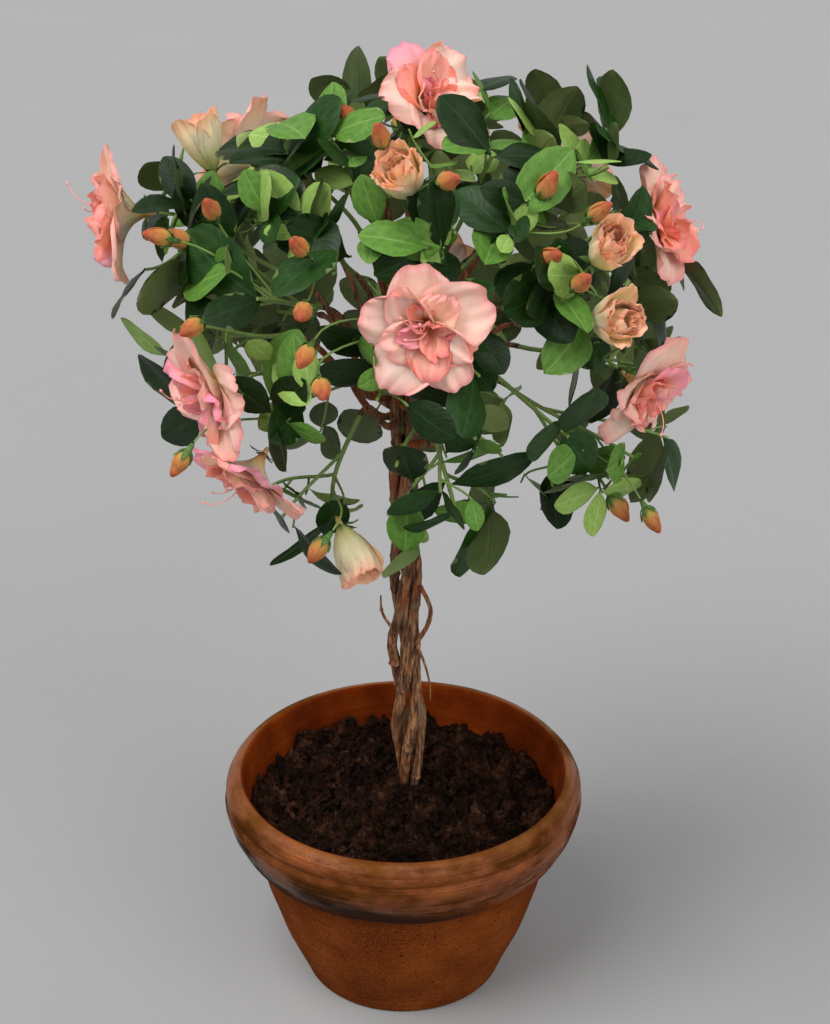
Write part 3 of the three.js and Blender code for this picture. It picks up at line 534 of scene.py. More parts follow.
# Share of the leaves kept where the crown is open to the sky, and elsewhere.
OPEN_MASSES = {
    "centre_low": 0.25, "right_low_face": 0.27, "low_centre_spray": 0.38, "low_left_spray": 0.4,
    "left_edge": 0.32, "right_low_spray": 0.46, "left_low": 0.3, "back_low": 0.33,
    "back_right": 0.44, "back_left": 0.44, "back_middle": 0.46, "right": 0.46,
    "right_upper_face": 0.54, "upper_face": 0.56, "top_right": 0.56, "back_top": 0.5,
    "back_high": 0.5, "right_crest_high": 0.52, "centre": 0.48,
}
FULL_MASS = 0.6
# Blooms at the back are a little smaller.
BACK_BLOOM = 0.84
# So are some in front, by mass.
FRONT_BLOOMS = {"left_low": 0.84, "right": 0.84, "right_crest": 0.9, "left_crest": 0.9}
# Small buds on their own threads: mass, azimuth, elevation, share of the crown's reach, facing.
EXTRA_BUDS = [
    ("left_face", 231, 14, 0.95, 236, -6), ("left_face", 218, 26, 0.98, 205, 20),
    ("left_face", 226, 33, 0.96, 250, 50),
    ("left_upper_face", 252, 20, 0.95, 262, -4), ("left_upper_face", 249, 30, 0.94, 240, 40),
    ("centre", 253, 13, 0.93, 250, -20), ("centre", 256, 8, 0.95, 280, -12),
    ("upper_face", 263, 52, 0.98, 250, 60), ("upper_face", 279, 43, 0.98, 310, 20),
    ("right_face", 303, 22, 0.95, 300, 40), ("right_upper_face", 314, 33, 0.94, 330, 40),
    ("right_low_spray", 330, -30, 1.02, 320, -50), ("low_left_spray", 250, -33, 0.9, 220, -40),
    ("left_low", 226, -12, 0.94, 210, -50), ("back_high", 98, 26, 0.95, 98, 50),
    ("back_right_high", 52, 18, 0.95, 60, 10), ("back_left_high", 128, 14, 0.95, 120, 20),
    ("back_middle", 92, -14, 0.93, 96, -30),
]


def grow_finer(grown, space, draw):
    """Side twigs on every twig of the mass, each with its own small whorl."""
    for twig in list(grown.twigs):
        for share in FINE_PLACES:
            origin, along = along_twig(twig, share)
            outward = unit(origin - CROWN_CENTRE)
            around = lean_way(along, any_square(along), draw() * TURN, TURN / 4)
            way = unit(along * FINE_WAYS[0] + outward * FINE_WAYS[1] + around * FINE_WAYS[2])
            end = origin + way * mix(*FINE_REACH, draw())
            tip_way = unit(way + outward * FINE_TIP)
            points = curve(origin, way, end, tip_way, FINE_STEPS)
            if not space.holds(points[1:]) or not space.off_limbs(points[1:], FINE_ROOM):
                continue
            radii = np.linspace(*FINE_RADIUS, FINE_STEPS + 1)
            grown.twigs.append(SimpleNamespace(
                kind="fine", points=points, radii=radii, ends=(origin, way, end, tip_way)))
            grown.twig_places = np.vstack([grown.twig_places, points])
            grow_whorl(
                grown, space, draw, end, tip_way, FINE_LEAVES, FINE_LENGTH, FINE_ROOMS)


def grow_bud(grown, azimuth, elevation, share, facing):
    """A small bud on a thread that leaves the mass's shoot."""
    at = crown_point(azimuth, elevation, share)
    face = direction(*facing)
    origin, _ = along_twig(grown.twigs[0], THREAD_START)
    end = at - face * FLOWER_SOLIDS["bud"][3]
    way = unit(end - origin)
    grown.twigs.append(SimpleNamespace(
        kind="thread", radii=np.array(FINE_RADIUS), ends=(origin, way, end, face)))
    grown.flowers.append(SimpleNamespace(
        kind="bud", at=at, axis=face, turn=azimuth, shrink=THREAD_BUD))


def grow_plant():
    """The whole plant: stems, boughs by name, and grown masses."""
    stems = [stem_path(stem) for stem in STEMS]
    tips_of = {name: [full_tip(tip) for tip in tips] for name, _, _, tips in MASSES}
    for path in stems:
        path.places, path.sizes = sampled(path.points, path.radii)
    limbs = list(stems)
    boughs = {}
    for name, base, _, _ in MASSES:
        if not isinstance(base, int):
            boughs[name] = bough_path(base, stems, limbs)
            limbs.append(boughs[name])
    sites = []
    for name, _, room, _ in MASSES:
        tips = tips_of[name]
        points = [crown_point(*tip[1:4]) for tip in tips]
        heavy = [points[0], points[0]] if tips[0][0] == "bloom" else []
        sites.append((np.mean(points + heavy, axis=0), room))
    places = np.vstack([path.places for path in limbs])
    sizes = np.concatenate([path.sizes for path in limbs])
    masses = {}
    for index, (name, tips) in enumerate(tips_of.items()):
        base = boughs.get(name) or stems[MASSES[index][1]]
        tip = base.points[-1]
        off = norm(places - tip, axis=1) > OWN_LIMB
        space = Space(index, sites, places[off], sizes[off])
        seed = FIRST_SEED + index * SEED_STEP
        masses[name] = grow_mass(tips, tip, base.tip_way, space, seed)
    for name, azimuth, elevation, share, *facing in EXTRA_BUDS:
        grow_bud(masses[name], azimuth, elevation, share, facing)
    return boughs, masses


# ---------------------------------------------------------------- joined meshes
# Faces that meet at more than this are shaded apart, as at the rim of a leaf or petal.
SHARP_ANGLE = math.radians(80)


class Heap:
    """Points and faces of many things, joined in one mesh, with or without a local map."""

    def __init__(self, local=True):
        self.points, self.faces, self.places = [], [], []
        self.count = 0
        self.local = local

    def add(self, points, faces, places=None):
        """Adds points (n, 3) in mm, faces (m, 4) and the local places of their corners.

        A face whose last two corners are the same point is a triangle.
        """
        self.points.append(points)
        self.faces.append(faces + self.count)
        self.places.append(places)
        self.count += len(points)

    def piece(self, name, material, slot, nodes=()):
        points = np.vstack(self.points) * METRE
        faces = np.vstack(self.faces)
        kept = np.ones(faces.shape, bool)
        kept[:, 3] = faces[:, 2] != faces[:, 3]
        rows = [face if whole else face[:3] for face, whole in zip(faces.tolist(), kept[:, 3])]
        mesh = bpy.data.meshes.new(name)
        mesh.from_pydata(points.tolist(), [], rows)
        if self.local:
            layer = mesh.uv_layers.new(name=LOCAL_MAP)
            places = np.vstack(self.places)[kept]
            layer.data.foreach_set("uv", places.astype(np.float32).ravel())
        mesh.polygons.foreach_set("use_smooth", [True] * len(mesh.polygons))
        mesh.materials.append(material)
        mesh.update()
        mesh.set_sharp_from_angle(angle=SHARP_ANGLE)
        return show(name, mesh, nodes)


def linked(name, data):
    """Puts a new object in the scene."""
    made = bpy.data.objects.new(name, data)
    bpy.context.scene.collection.objects.link(made)
    return made


def show(name, mesh, nodes=()):
    """Makes a mesh a piece of the plant that stands for some of its solids."""
    piece = linked(name, mesh)
    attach(piece, ROOT_BODY)
    if nodes:
        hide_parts(*nodes)
    return piece


def grid_faces(rows, columns, wrap=False):
    """Faces of a grid of points with that many rows and columns of points."""
    reach = columns if wrap else columns - 1
    r, c = np.meshgrid(np.arange(rows - 1), np.arange(reach), indexing="ij")
    after = (c + 1) % columns
    faces = np.stack([r * columns + c, r * columns + after,
                      (r + 1) * columns + after, (r + 1) * columns + c], axis=-1)
    return faces.reshape(-1, 4)


def closed_faces(rows, sides):
    """Faces of a run of rings, closed at both ends on two points that follow the rings."""
    side = np.arange(sides)
    after = (side + 1) % sides
    first_end = np.full(sides, rows * sides)
    last_ring = (rows - 1) * sides
    first = np.stack([after, side, first_end, first_end], axis=1)
    last = np.stack([last_ring + side, last_ring + after, first_end + 1, first_end + 1], axis=1)
    return np.vstack([grid_faces(rows, sides, wrap=True), first, last])


def add_sheet(heap, upper, thickness, along):
    """Closed thin sheet under a grid of points (rows, columns, 3), sharing its rim.

    Local places run 0 to 1 along the rows; across they take the left half of the map on
    the upper side and the right half on the under side.
    """
    rows, columns = upper.shape[:2]
    down = np.gradient(upper, axis=0)
    across = np.gradient(upper, axis=1)
    normal = np.cross(across, down)
    normal /= np.maximum(norm(normal, axis=2, keepdims=True), 1e-9)
    lower = upper - normal * thickness
    inside = np.zeros((rows, columns), bool)
    inside[1:-1, 1:-1] = True
    numbers = np.arange(rows * columns).reshape(rows, columns)
    under = numbers.copy()
    under[inside] = rows * columns + np.arange(inside.sum())
    faces = grid_faces(rows, columns)
    points = np.vstack([upper.reshape(-1, 3), lower[inside]])
    v = np.tile(np.linspace(0.02, 0.98, columns), (rows, 1))
    place = np.stack([v * 0.5, np.tile(along[:, None], (1, columns))], axis=-1).reshape(-1, 2)
    top_places = place[faces]
    back = faces[:, ::-1]
    under_places = place[back] + [0.5, 0]
    heap.add(
        points, np.vstack([faces, under.reshape(-1)[back]]),
        np.vstack([top_places, under_places]))


def add_tube(heap, points, radii, sides, relief=None):
    """Round limb along a run of points, closed at both ends."""
    ways = np.gradient(points, axis=0)
    ways /= norm(ways, axis=1, keepdims=True)
    across = any_square(ways[0])[0]
    spins = np.arange(sides) / sides * TURN
    rings = []
    for point, along, radius in zip(points, ways, radii):
        across = square_to(across, along)
        up = np.cross(along, across)
        circle = np.outer(np.cos(spins), across) + np.outer(np.sin(spins), up)
        reach = np.full(sides, radius)
        if relief:
            reach = reach * np.array([relief(point, way) for way in circle])
        rings.append(point + circle * reach[:, None])
    run = np.concatenate([[0], np.cumsum(norm(np.diff(points, axis=0), axis=1))])
    place = np.stack(np.broadcast_arrays(
        (np.arange(sides) / sides)[None, :], (run / max(run[-1], 1))[:, None]),
        axis=-1).reshape(-1, 2)
    place = np.vstack([place, [[0.5, 0], [0.5, 1]]])
    faces = closed_faces(len(points), sides)
    heap.add(np.vstack(rings + [points[:1], points[-1:]]), faces, place[faces])


# ---------------------------------------------------------------- leaves
# Half width of a leaf along its length, as a share of its widest.
LEAF_OUTLINE = [
    (0, 0.06), (0.06, 0.08), (0.12, 0.28), (0.22, 0.6), (0.35, 0.87), (0.5, 1.0), (0.65, 0.96),
    (0.79, 0.81), (0.9, 0.54), (0.97, 0.24), (1, 0.03),
]
LEAF_COLUMNS = 7
LEAF_THICKNESS = 0.45
# Widest place of the silk leaf as a share of its length; the solid's leaf is narrower.
LEAF_VISUAL_WIDTH = 0.64
# How far a leaf may tip and roll about its own line, and set off lower down its twig.
LEAF_PITCH = 0.6
LEAF_ROLL = 0.9
LEAF_STAGGER = 7
# Least and most of a leaf's width, of its fold, and of its wave and added droop per length.
WIDTH_PLAY = (0.88, 1.1)
FOLD_PLAY = (-0.04, 0.36)
WAVE_PLAY = (0.006, 0.028)
DROP_PLAY = (-0.04, 0.12)
# How far a leaf may twist and bend sideways, how fast its edge waves, and its curled rim.
TWIST_PLAY = 0.5
BEND_PLAY = 0.16
WAVE_PITCH = 9.5
RIM_CURL = 0.16


def add_leaf(heap, leaf, growth, draw):
    """A silk leaf: folded along its midrib, drooping to its tip, with a wavy edge.

    Growth is the least and the most by which its length differs from the seeded one.
    """
    along, outline = np.array(LEAF_OUTLINE).T
    pitch = (draw() - 0.5) * LEAF_PITCH
    way = unit(leaf.way * math.cos(pitch) + leaf.face * math.sin(pitch))
    side = unit(np.cross(leaf.face, way))
    roll = (draw() - 0.5) * LEAF_ROLL
    face = np.cross(way, side) * math.cos(roll) + side * math.sin(roll)
    side = np.cross(face, way)
    at = leaf.at - leaf.axis * LEAF_STAGGER * draw()
    length = leaf.length * mix(*growth, draw())
    half = length * LEAF_VISUAL_WIDTH * 0.5 * mix(*WIDTH_PLAY, draw()) * outline
    v = np.linspace(-1, 1, LEAF_COLUMNS)
    fold = mix(*FOLD_PLAY, draw())
    wave = length * mix(*WAVE_PLAY, draw())
    phase = draw() * TURN
    twist = (draw() - 0.5) * TWIST_PLAY
    bend = (draw() - 0.5) * BEND_PLAY
    drop = leaf.droop + mix(*DROP_PLAY, draw())
    spine = (at + np.outer(along, way) * length
             - np.outer(along ** 2, face) * length * drop
             + np.outer(along ** 2, side) * length * bend)
    lift = (np.outer(half, np.abs(v)) * math.sin(fold)
            + np.outer(half * twist * along, v)
            + wave * np.outer(np.sin(along * WAVE_PITCH + phase), v ** 2)
            - np.outer(half, v ** 4) * RIM_CURL)
    across = np.outer(half, v) * math.cos(fold)
    points = spine[:, None] + across[..., None] * side + lift[..., None] * face
    add_sheet(heap, points[:, ::-1], LEAF_THICKNESS, along)


# ---------------------------------------------------------------- flowers
def ring_of(count, length, width, ruffle, twist, cup, start, *angles):
    """A ring of petals: how many, their length and width, the ruffle at the rim, how far
    they may twist and how deep they cup, the ring's turn as a share of one petal's room,
    and the angle from the flower's axis along them."""
    return SimpleNamespace(count=count, length=length, width=width, ruffle=ruffle,
                           twist=twist, cup=cup, start=start, angles=angles)


PETAL_RINGS = {
    "bloom": [
        ring_of(5, 56, 54, 4.0, 0.30, 0.07, 0, (0, 12), (0.22, 46), (0.5, 72), (0.8, 84), (1, 104)),
        ring_of(5, 46, 42, 4.8, 0.45, 0.16, 0.5, (0, 10), (0.3, 34), (0.6, 54), (0.85, 56),
                (1, 76)),
        ring_of(4, 36, 28, 4.6, 1.1, 0.26, 0.2, (0, 8), (0.3, 20), (0.7, 34), (1, 20))],
    "half": [
        ring_of(5, 38, 32, 1.4, 0.2, 0.12, 0, (0, 40), (0.3, 26), (0.6, 12), (0.82, 2), (1, 16)),
        ring_of(4, 37, 28, 1.4, 0.4, 0.2, 0.5, (0, 24), (0.3, 18), (0.7, 2), (1, -16)),
        ring_of(3, 33, 22, 1.4, 0.5, 0.3, 0.2, (0, 12), (0.4, 14), (0.8, -2), (1, -24))],
    "bud": [
        ring_of(5, 19, 10.5, 0.2, 0.1, 0.0, 0, (0, 55), (0.2, 25), (0.4, 0), (0.65, -22),
                (1, -48))],
}
SEPALS = {
    "bloom": ring_of(5, 11, 5, 0.3, 0.2, 0.05, 0.4, (0, 60), (0.5, 84), (1, 104)),
    "half": ring_of(5, 11, 4.6, 0.3, 0.2, 0.05, 0.4, (0, 50), (0.5, 74), (1, 92)),
    "bud": ring_of(5, 9, 5, 0.3, 0.2, 0.05, 0.4, (0, 66), (0.4, 22), (1, 6)),
}
# Half width along a petal, a bud's petal and a sepal.
PETAL_OUTLINE = [
    (0, 0.16), (0.15, 0.26), (0.35, 0.6), (0.55, 0.9), (0.72, 1.0), (0.87, 0.94), (1, 0.7),
]
BUD_OUTLINE = [(0, 0.7), (0.3, 1.0), (0.6, 0.95), (0.85, 0.7), (1, 0.35)]
SEPAL_OUTLINE = [(0, 0.7), (0.3, 1.0), (0.6, 0.7), (0.85, 0.32), (1, 0.04)]
# Rise and radius of a flower's throat, and of the folded petals inside a bud.
THROAT = [(-10, 1.3), (-6, 2.1), (-3, 2.7), (0, 3.2), (2.5, 2.8), (4.5, 1.2)]
BUD_CORE = [(-2, 1.6), (1, 3.6), (5, 4.3), (9, 3.6), (12, 2.2), (13.6, 0.9)]
CORE_SIDES = 8
# Rows and columns of points on a petal, a bud's petal and a sepal.
PETAL_GRID = (16, 19)
BUD_GRID = (9, 7)
SEPAL_GRID = (6, 5)
PETAL_THICKNESS = 0.4
PETAL_START = 2.4
FLOWER_BASE = -4
SEPAL_DROP = 1.2
# Least and most of a petal's length and width, and how far petals stray about the ring.
PETAL_LENGTHS = (0.88, 1.04)
PETAL_WIDTHS = (0.82, 1.12)
PETAL_STRAY = 0.3
# Degrees between a petal's least and most lean, and the least radius it is bent to.
PETAL_LEAN = 26
BUD_LEAN = 4
PETAL_BEND = 4.5
BUD_BEND = 2.0
# Points at which a petal's line is worked out before it is cut into rows.
PROFILE_POINTS = 60


def add_petal(heap, flower, ring, spin, outline, shape, draw):
    """One petal of a ring, as a strip of a surface turned about the flower's axis."""
    bud = flower.kind == "bud"
    rows, columns = shape
    u = np.linspace(0, 1, rows)[:, None]
    v = np.linspace(-1, 1, columns)[None]
    length = ring.length * flower.shrink * mix(*PETAL_LENGTHS, draw())
    width = ring.width * flower.shrink * mix(*PETAL_WIDTHS, draw())
    lean = (draw() - 0.5) * (BUD_LEAN if bud else PETAL_LEAN)
    # The rim is round, with a notch in its middle that is deeper on a ruffled petal.
    notch = ring.ruffle * mix(0.2, 1.0, draw()) * 0.02
    reach = u * (1 - 0.17 * v ** 2 - notch * np.exp(-((v / 0.22) ** 2)))
    fine = np.linspace(0, 1, PROFILE_POINTS)
    angle = np.radians(spread(ring.angles, fine) + lean * fine)
    step = length / (len(fine) - 1)
    out = PETAL_START * flower.shrink + np.concatenate([[0], np.cumsum(np.sin(angle[1:]) * step)])
    rise = FLOWER_BASE * flower.shrink + np.concatenate([[0], np.cumsum(np.cos(angle[1:]) * step)])
    r = np.interp(reach, fine, out)
    z = np.interp(reach, fine, rise)
    tilt = np.interp(reach, fine, angle)
    half = spread(outline, u) * width * 0.5
    across = half * v
    crest = draw() * TURN
    # Waves grow towards the free rim: one broad, then finer ones, and pressed creases.
    free = np.maximum(u ** 2, np.abs(v) ** 3 * u)
    waves = ring.ruffle * free * (
        np.sin(v * mix(3.5, 6.5, draw()) + crest) * 0.6
        + np.sin(v * 11 + u * 6 + crest * 2) * 0.26
        + np.sin(u * 8 + np.abs(v) * 4 + crest) * 0.22
        + np.sin(v * 19 + u * 11 + crest * 3) * 0.2)
    creases = 0.45 * np.sin(v * 17 + np.sin(u * 5) * 1.5) * u
    turned = across * math.sin((draw() - 0.5) * 2 * ring.twist) * u
    bowl = ring.cup * np.abs(across) ** 2 / max(width * 0.5, 1)
    push = (waves + creases) * flower.shrink + turned + bowl
    phi = spin + across / np.maximum(r, BUD_BEND if bud else PETAL_BEND)
    sides = any_square(flower.axis)
    radial = np.cos(phi)[..., None] * sides[0] + np.sin(phi)[..., None] * sides[1]
    r = r - push * np.cos(tilt)
    z = z + push * np.sin(tilt)
    points = flower.at + radial * r[..., None] + flower.axis * z[..., None]
    add_sheet(heap, points, PETAL_THICKNESS, u[:, 0])


# Share of a bloom's petals, ring by ring from the outside, that are salmon and lilac-rose.
SALMON_SHARES = [0.0, 0.35, 0.8]
ROSE_SHARE = 0.16


def pick_petal(heaps, kind, level, value):
    if kind == "half":
        return heaps["petals_apricot"]
    if value < SALMON_SHARES[level]:
        return heaps["petals_salmon"]
    return heaps["petals_rose" if value > 1 - ROSE_SHARE else "petals_peach"]


def add_core(heap, flower, shape):
    """Round body on a flower's axis, from rows of its rise and radius."""
    rises, girths = zip(*shape)
    points = np.array([flower.at + flower.axis * rise * flower.shrink for rise in rises])
    add_tube(heap, points, np.array(girths) * flower.shrink, CORE_SIDES)


def add_flower(heaps, flower, draw):
    kind = flower.kind
    bud = kind == "bud"
    shape, outline = (BUD_GRID, BUD_OUTLINE) if bud else (PETAL_GRID, PETAL_OUTLINE)
    for level, ring in enumerate(PETAL_RINGS[kind]):
        for k in range(ring.count):
            stray = (draw() - 0.5) * PETAL_STRAY
            spin = flower.turn + (k + ring.start + stray) / ring.count * TURN
            heap = heaps["buds_rust"] if bud else pick_petal(heaps, kind, level, draw())
            add_petal(heap, flower, ring, spin, outline, shape, draw)
    ring = SEPALS[kind]
    low = SimpleNamespace(**{**vars(flower), "at": flower.at - flower.axis * SEPAL_DROP})
    for k in range(ring.count):
        spin = flower.turn + (k + ring.start) / ring.count * TURN
        add_petal(heaps["sepals"], low, ring, spin, SEPAL_OUTLINE, SEPAL_GRID, draw)
    add_core(heaps["sepals"] if bud else heaps["flower_tubes"], flower, THROAT)
    if bud:
        add_core(heaps["buds_rust"], flower, BUD_CORE)
    if kind == "bloom":
        add_stigmas(heaps["stigmas"], flower, draw)


# A bloom's longest threads, their radii at both ends, and the knob's rise and radius.
STIGMA_LENGTHS = [54, 44, 36]
STIGMA_RADIUS = (0.36, 0.28)
STIGMA_STEPS = 12
STIGMA_SIDES = 6
STIGMA_KNOB = [(-0.6, 0.3), (0, 0.6), (0.7, 0.8), (1.4, 0.6), (1.8, 0.2)]
# Least lean of a thread's reach and of its tip, and how much more either may lean.
STIGMA_LEAN = (0.2, 0.25)
STIGMA_BEND = (1.0, 0.5)
# The thread's reach as a share of its length, since it bends.
STIGMA_REACH = 0.9


def add_stigmas(heap, flower, draw):
    """Long curved threads out of the throat, each with a knob."""
    sides = any_square(flower.axis)
    for length in STIGMA_LENGTHS:
        spin = draw() * TURN
        way = lean_way(flower.axis, sides, spin, STIGMA_LEAN[0] + draw() * STIGMA_LEAN[1])
        end_way = lean_way(flower.axis, sides, spin, STIGMA_BEND[0] + draw() * STIGMA_BEND[1])
        end = flower.at + way * length * flower.shrink * STIGMA_REACH
        points = curve(flower.at, flower.axis, end, end_way, STIGMA_STEPS)
        add_tube(heap, points, np.linspace(*STIGMA_RADIUS, len(points)), STIGMA_SIDES)
        rises, girths = zip(*STIGMA_KNOB)
        knob = np.array([points[-1] + end_way * rise for rise in rises])
        add_tube(heap, knob, np.array(girths), CORE_SIDES)


# ---------------------------------------------------------------- bark
BARK_FINENESS = 16
STEM_SIDES = 18
BOUGH_SIDES = 12
BOUGH_FINE_STEPS = 44
VINE_SIDES = 12
OFFSHOOT_SIDES = 10
OFFSHOOT_STEPS = 10
# The stems' bark is a little thicker than their solids.
BARK_SWELL = 1.04
# First number of each kind of limb, which sets the pattern of its bark.
VINE_KEY = 5
OFFSHOOT_KEY = 10
BOUGH_KEY = 20
# How far the stems go down into the peat.
ROOT_DEPTH = 2


# Ridges and lumps: how close together along a limb and round it, and how high.
RIDGES = (0.035, 1.9, 0.2)
LUMPS = (0.19, 0.6, 0.14)
# Warts: how close together, how rare, and how high.
WARTS = (0.33, 0.42, 1.1)
# How far apart the patterns of two limbs are taken.
RIDGE_SHIFT = 7.3
WART_SHIFT = 3.1


def bark_relief(key):
    """Share of the radius at which the bark stands: long ridges, lumps and a few warts."""
    def relief(point, way):
        point, way = Vector(point), Vector(way)
        place = point * RIDGES[0] + way * RIDGES[1] + Vector((key * RIDGE_SHIFT, 0, 0))
        ridges = noise.noise(place) * RIDGES[2]
        lumps = noise.noise(point * LUMPS[0] + way * LUMPS[1]) * LUMPS[2]
        wart = noise.noise(point * WARTS[0] + Vector((0, key * WART_SHIFT, 0))) - WARTS[1]
        return 1 + ridges + lumps + max(0.0, wart) * WARTS[2]
    return relief


def add_rooted(heap, points, radii, sides, relief):
    """A limb of the trunk, carried on straight down into the peat."""
    points = np.vstack([points[:1] - [0, 0, ROOT_DEPTH], points])
    add_tube(heap, points, np.insert(radii, 0, radii[0]), sides, relief)


# Snag, cut stub, hanging rootlet and loose loop on the trunk: radii at both ends, and route.
OFFSHOOTS = [
    ((1.3, 0.5), [(-3, -6, 251), (-9, -8, 259), (-13, -8, 268), (-13.5, -7, 278)]),
    ((3.0, 2.9), [(2, -4, 378), (10, -6, 380), (21, -7, 382)]),
    ((1.0, 0.4), [(9, -6, 242), (14, -7, 228), (17, -7, 214), (17.5, -6.5, 202)]),
    ((1.5, 1.4), [(9, -6, 244), (16, -7, 258), (17, -7, 270), (11, -6, 284)]),
]


def smooth_run(points, count):
    """Evenly spread points on a smooth line through the given ones."""
    points = np.array(points, float)
    padded = np.vstack([2 * points[0] - points[1], points, 2 * points[-1] - points[-2]])
    out = []
    for i in range(1, len(padded) - 2):
        a, b, c, d = padded[i - 1:i + 3]
        for t in np.linspace(0, 1, count, endpoint=False):
            out.append(0.5 * (2 * b + (c - a) * t + (2 * a - 5 * b + 4 * c - d) * t ** 2
                              + (3 * b - a - 3 * c + d) * t ** 3))
    return np.array(out + [points[-1]])


# Thinner vines wound in with the stems: heading, radius, distance from the axis as a share
# of the stems' own, and how many turns they make on the way up.
VINES = [
    (270, 1.9, 1.05, 1.5), (20, 1.6, 0.9, 0.7), (185, 2.1, 0.8, 1.35), (95, 1.5, 1.15, 0.85),
]
VINE_STEPS = 240
# How often and how far a vine wanders from its line, and its radius swells and thins.
VINE_BENDS = 9
VINE_WANDER = 1.2
VINE_SWELLS = 14
VINE_SWELL = 0.18


def vine_path(heading, radius, distance_share, turns):
    points = []
    for share in np.linspace(0, 1, VINE_STEPS):
        distance = np.interp(share, TWIST_SHARES, TWIST_REACHES) * distance_share
        distance += noise.noise(Vector((share * VINE_BENDS, heading, 0))) * VINE_WANDER
        a = math.radians(heading) - (1 - share) * turns * TURN
        points.append(mix(TRUNK_BASE, TRUNK_FORK, share) + distance * level_way(a))
    radii = radius * (1 + VINE_SWELL * np.sin(np.linspace(0, VINE_SWELLS, VINE_STEPS) + heading))
    return np.array(points), radii


def build_bark(boughs, bark):
    """Trunk of stems, vines and offshoots, and the boughs."""
    trunk = Heap(local=False)
    for key, stem in enumerate(STEMS):
        path = stem_path(stem, BARK_FINENESS)
        add_rooted(trunk, path.points, path.radii * BARK_SWELL, STEM_SIDES, bark_relief(key))
    for key, vine in enumerate(VINES):
        add_rooted(trunk, *vine_path(*vine), VINE_SIDES, bark_relief(VINE_KEY + key))
    for key, (radii, route) in enumerate(OFFSHOOTS):
        points = smooth_run(route, OFFSHOOT_STEPS)
        radii = np.linspace(*radii, len(points))
        add_tube(trunk, points, radii, OFFSHOOT_SIDES, bark_relief(OFFSHOOT_KEY + key))
    trunk.piece("trunk_stems", bark, "bark", [stem[0] for stem in STEMS])
    heap = Heap(local=False)
    for key, path in enumerate(boughs.values()):
        fine = curve(path.points[0], path.start_way, path.points[-1], path.tip_way,
                     BOUGH_FINE_STEPS)
        radii = np.linspace(*BOUGH_RADIUS, BOUGH_FINE_STEPS + 1)
        add_tube(heap, fine, radii, BOUGH_SIDES, bark_relief(BOUGH_KEY + key))
    heap.piece("boughs", bark, "bark", ["bough_" + name for name in boughs])


# ---------------------------------------------------------------- pot and peat
POT_SIDES = 160
# Radius and height from the foot up the wall, over the rolled collar and down inside.
POT_PROFILE = [
    (58, 1.2), (62, 0.3), (64.5, 0), (66, 1.2), (66.4, 3), (80.5, 36), (90.5, 68),
    (95.6, 91.5), (96.4, 94), (97.6, 95.8), (101, 98.4), (105.2, 102), (107.8, 105.6),
    (109.8, 109.4), (110.6, 111.8), (113, 116), (114, 119), (114.3, 121.4), (115.6, 125),
    (116.1, 129.4), (115.9, 132.4), (114.7, 134.4), (114.6, 135.4), (115.4, 137), (115.0, 139.4),
    (113.7, 142.4), (111.6, 145.1), (109.6, 147), (107.2, 147.9), (105.2, 147.5),
    (103.8, 145.8), (102.6, 139), (99.4, 121), (87, 67), (75, 34), (60, 12),
]
POT_FOOT_HEIGHT = 1.2
POT_FLOOR_HEIGHT = 12
# Throwing rings on the wall: two trains, each with its pitch, phase and share.
THROWING_RINGS = [(1.9, 0, 0.6), (0.83, 1, 0.4)]
# Longest step of the pot's profile, relief of its throwing rings, how far it is out of round,
# and how fast that changes round it and up it. Above the shoulder its height wanders too.
WALL_STEP = 2.5
THROWING_RELIEF = 0.22
WALL_WANDER = 0.5
WALL_PITCH = (1.4, 0.03)
SHOULDER_HEIGHT = 100
LIP_WANDER = 0.3
SOIL_RADIUS = 99.4
SOIL_RINGS = 130
SOIL_SIDES = 400
SOIL_FLOOR = 13
# Radius and height of the peat against the pot, from the floor up.
SOIL_WALL = [(59, 13), (74, 34.6), (86, 67), (98.2, 119)]
# Height of the peat's surface by its distance from the middle.
SOIL_DOME = [
    (0, 136.6), (10, 136.0), (19, 132.4), (44, 129.6), (66, 127.4), (86, 125), (99.4, 122.6),
]
# Clods of the peat: how close together, and how high. Then how deep the gaps between them
# are, as a share of their height, and how far below the dome the peat lies.
CLODS = [(0.066, 9.5), (0.17, 5.0), (0.42, 2.4)]
CLOD_GAP = 0.55
SOIL_DROP = 0.8
# Long low swell: how close together its hills are, and how high.
SWELL = (0.035, 3.0)
# How fast and how far the clods' pattern is pushed about, so that it isn't even.
CLOD_SHIFT = (0.12, 4)
# The peat is smooth up to this radius, and the clods grow to their height over this distance.
SMOOTH_FOOT = (9, 12)
# Loose crumbs: how many, how far out, least and most size and stretch, how much they tilt,
# how rough they are, how high they lie and where they end, as shares of their size.
CRUMBS = 4200
CRUMB_REACH = 0.96
CRUMB_SIZE = (0.5, 2.6)
CRUMB_STRETCH = (0.6, 2.4)
CRUMB_TILT = (0.8, 0.5)
CRUMB_ROUGH = (0.7, 1.2)
CRUMB_SUNK = 0.25
CRUMB_END = 1.1
# Larger crumbs heaped round the foot of the stems: how many, how far out, and their size.
FOOT_CRUMBS = 280
FOOT_REACH = (8, 18)
FOOT_SIZE = (1.3, 3.0)
CRUMB_SIDES = 5
CRUMB_RINGS = [(-0.75, 0.75), (0, 1), (0.7, 0.7)]


def refined(profile, step):
    """The same profile with no two points further apart than the step."""
    out = [profile[0]]
    for a, b in zip(profile, profile[1:]):
        count = max(1, math.ceil(math.dist(a, b) / step))
        out += [(mix(a[0], b[0], k / count), mix(a[1], b[1], k / count))
                for k in range(1, count + 1)]
    return out


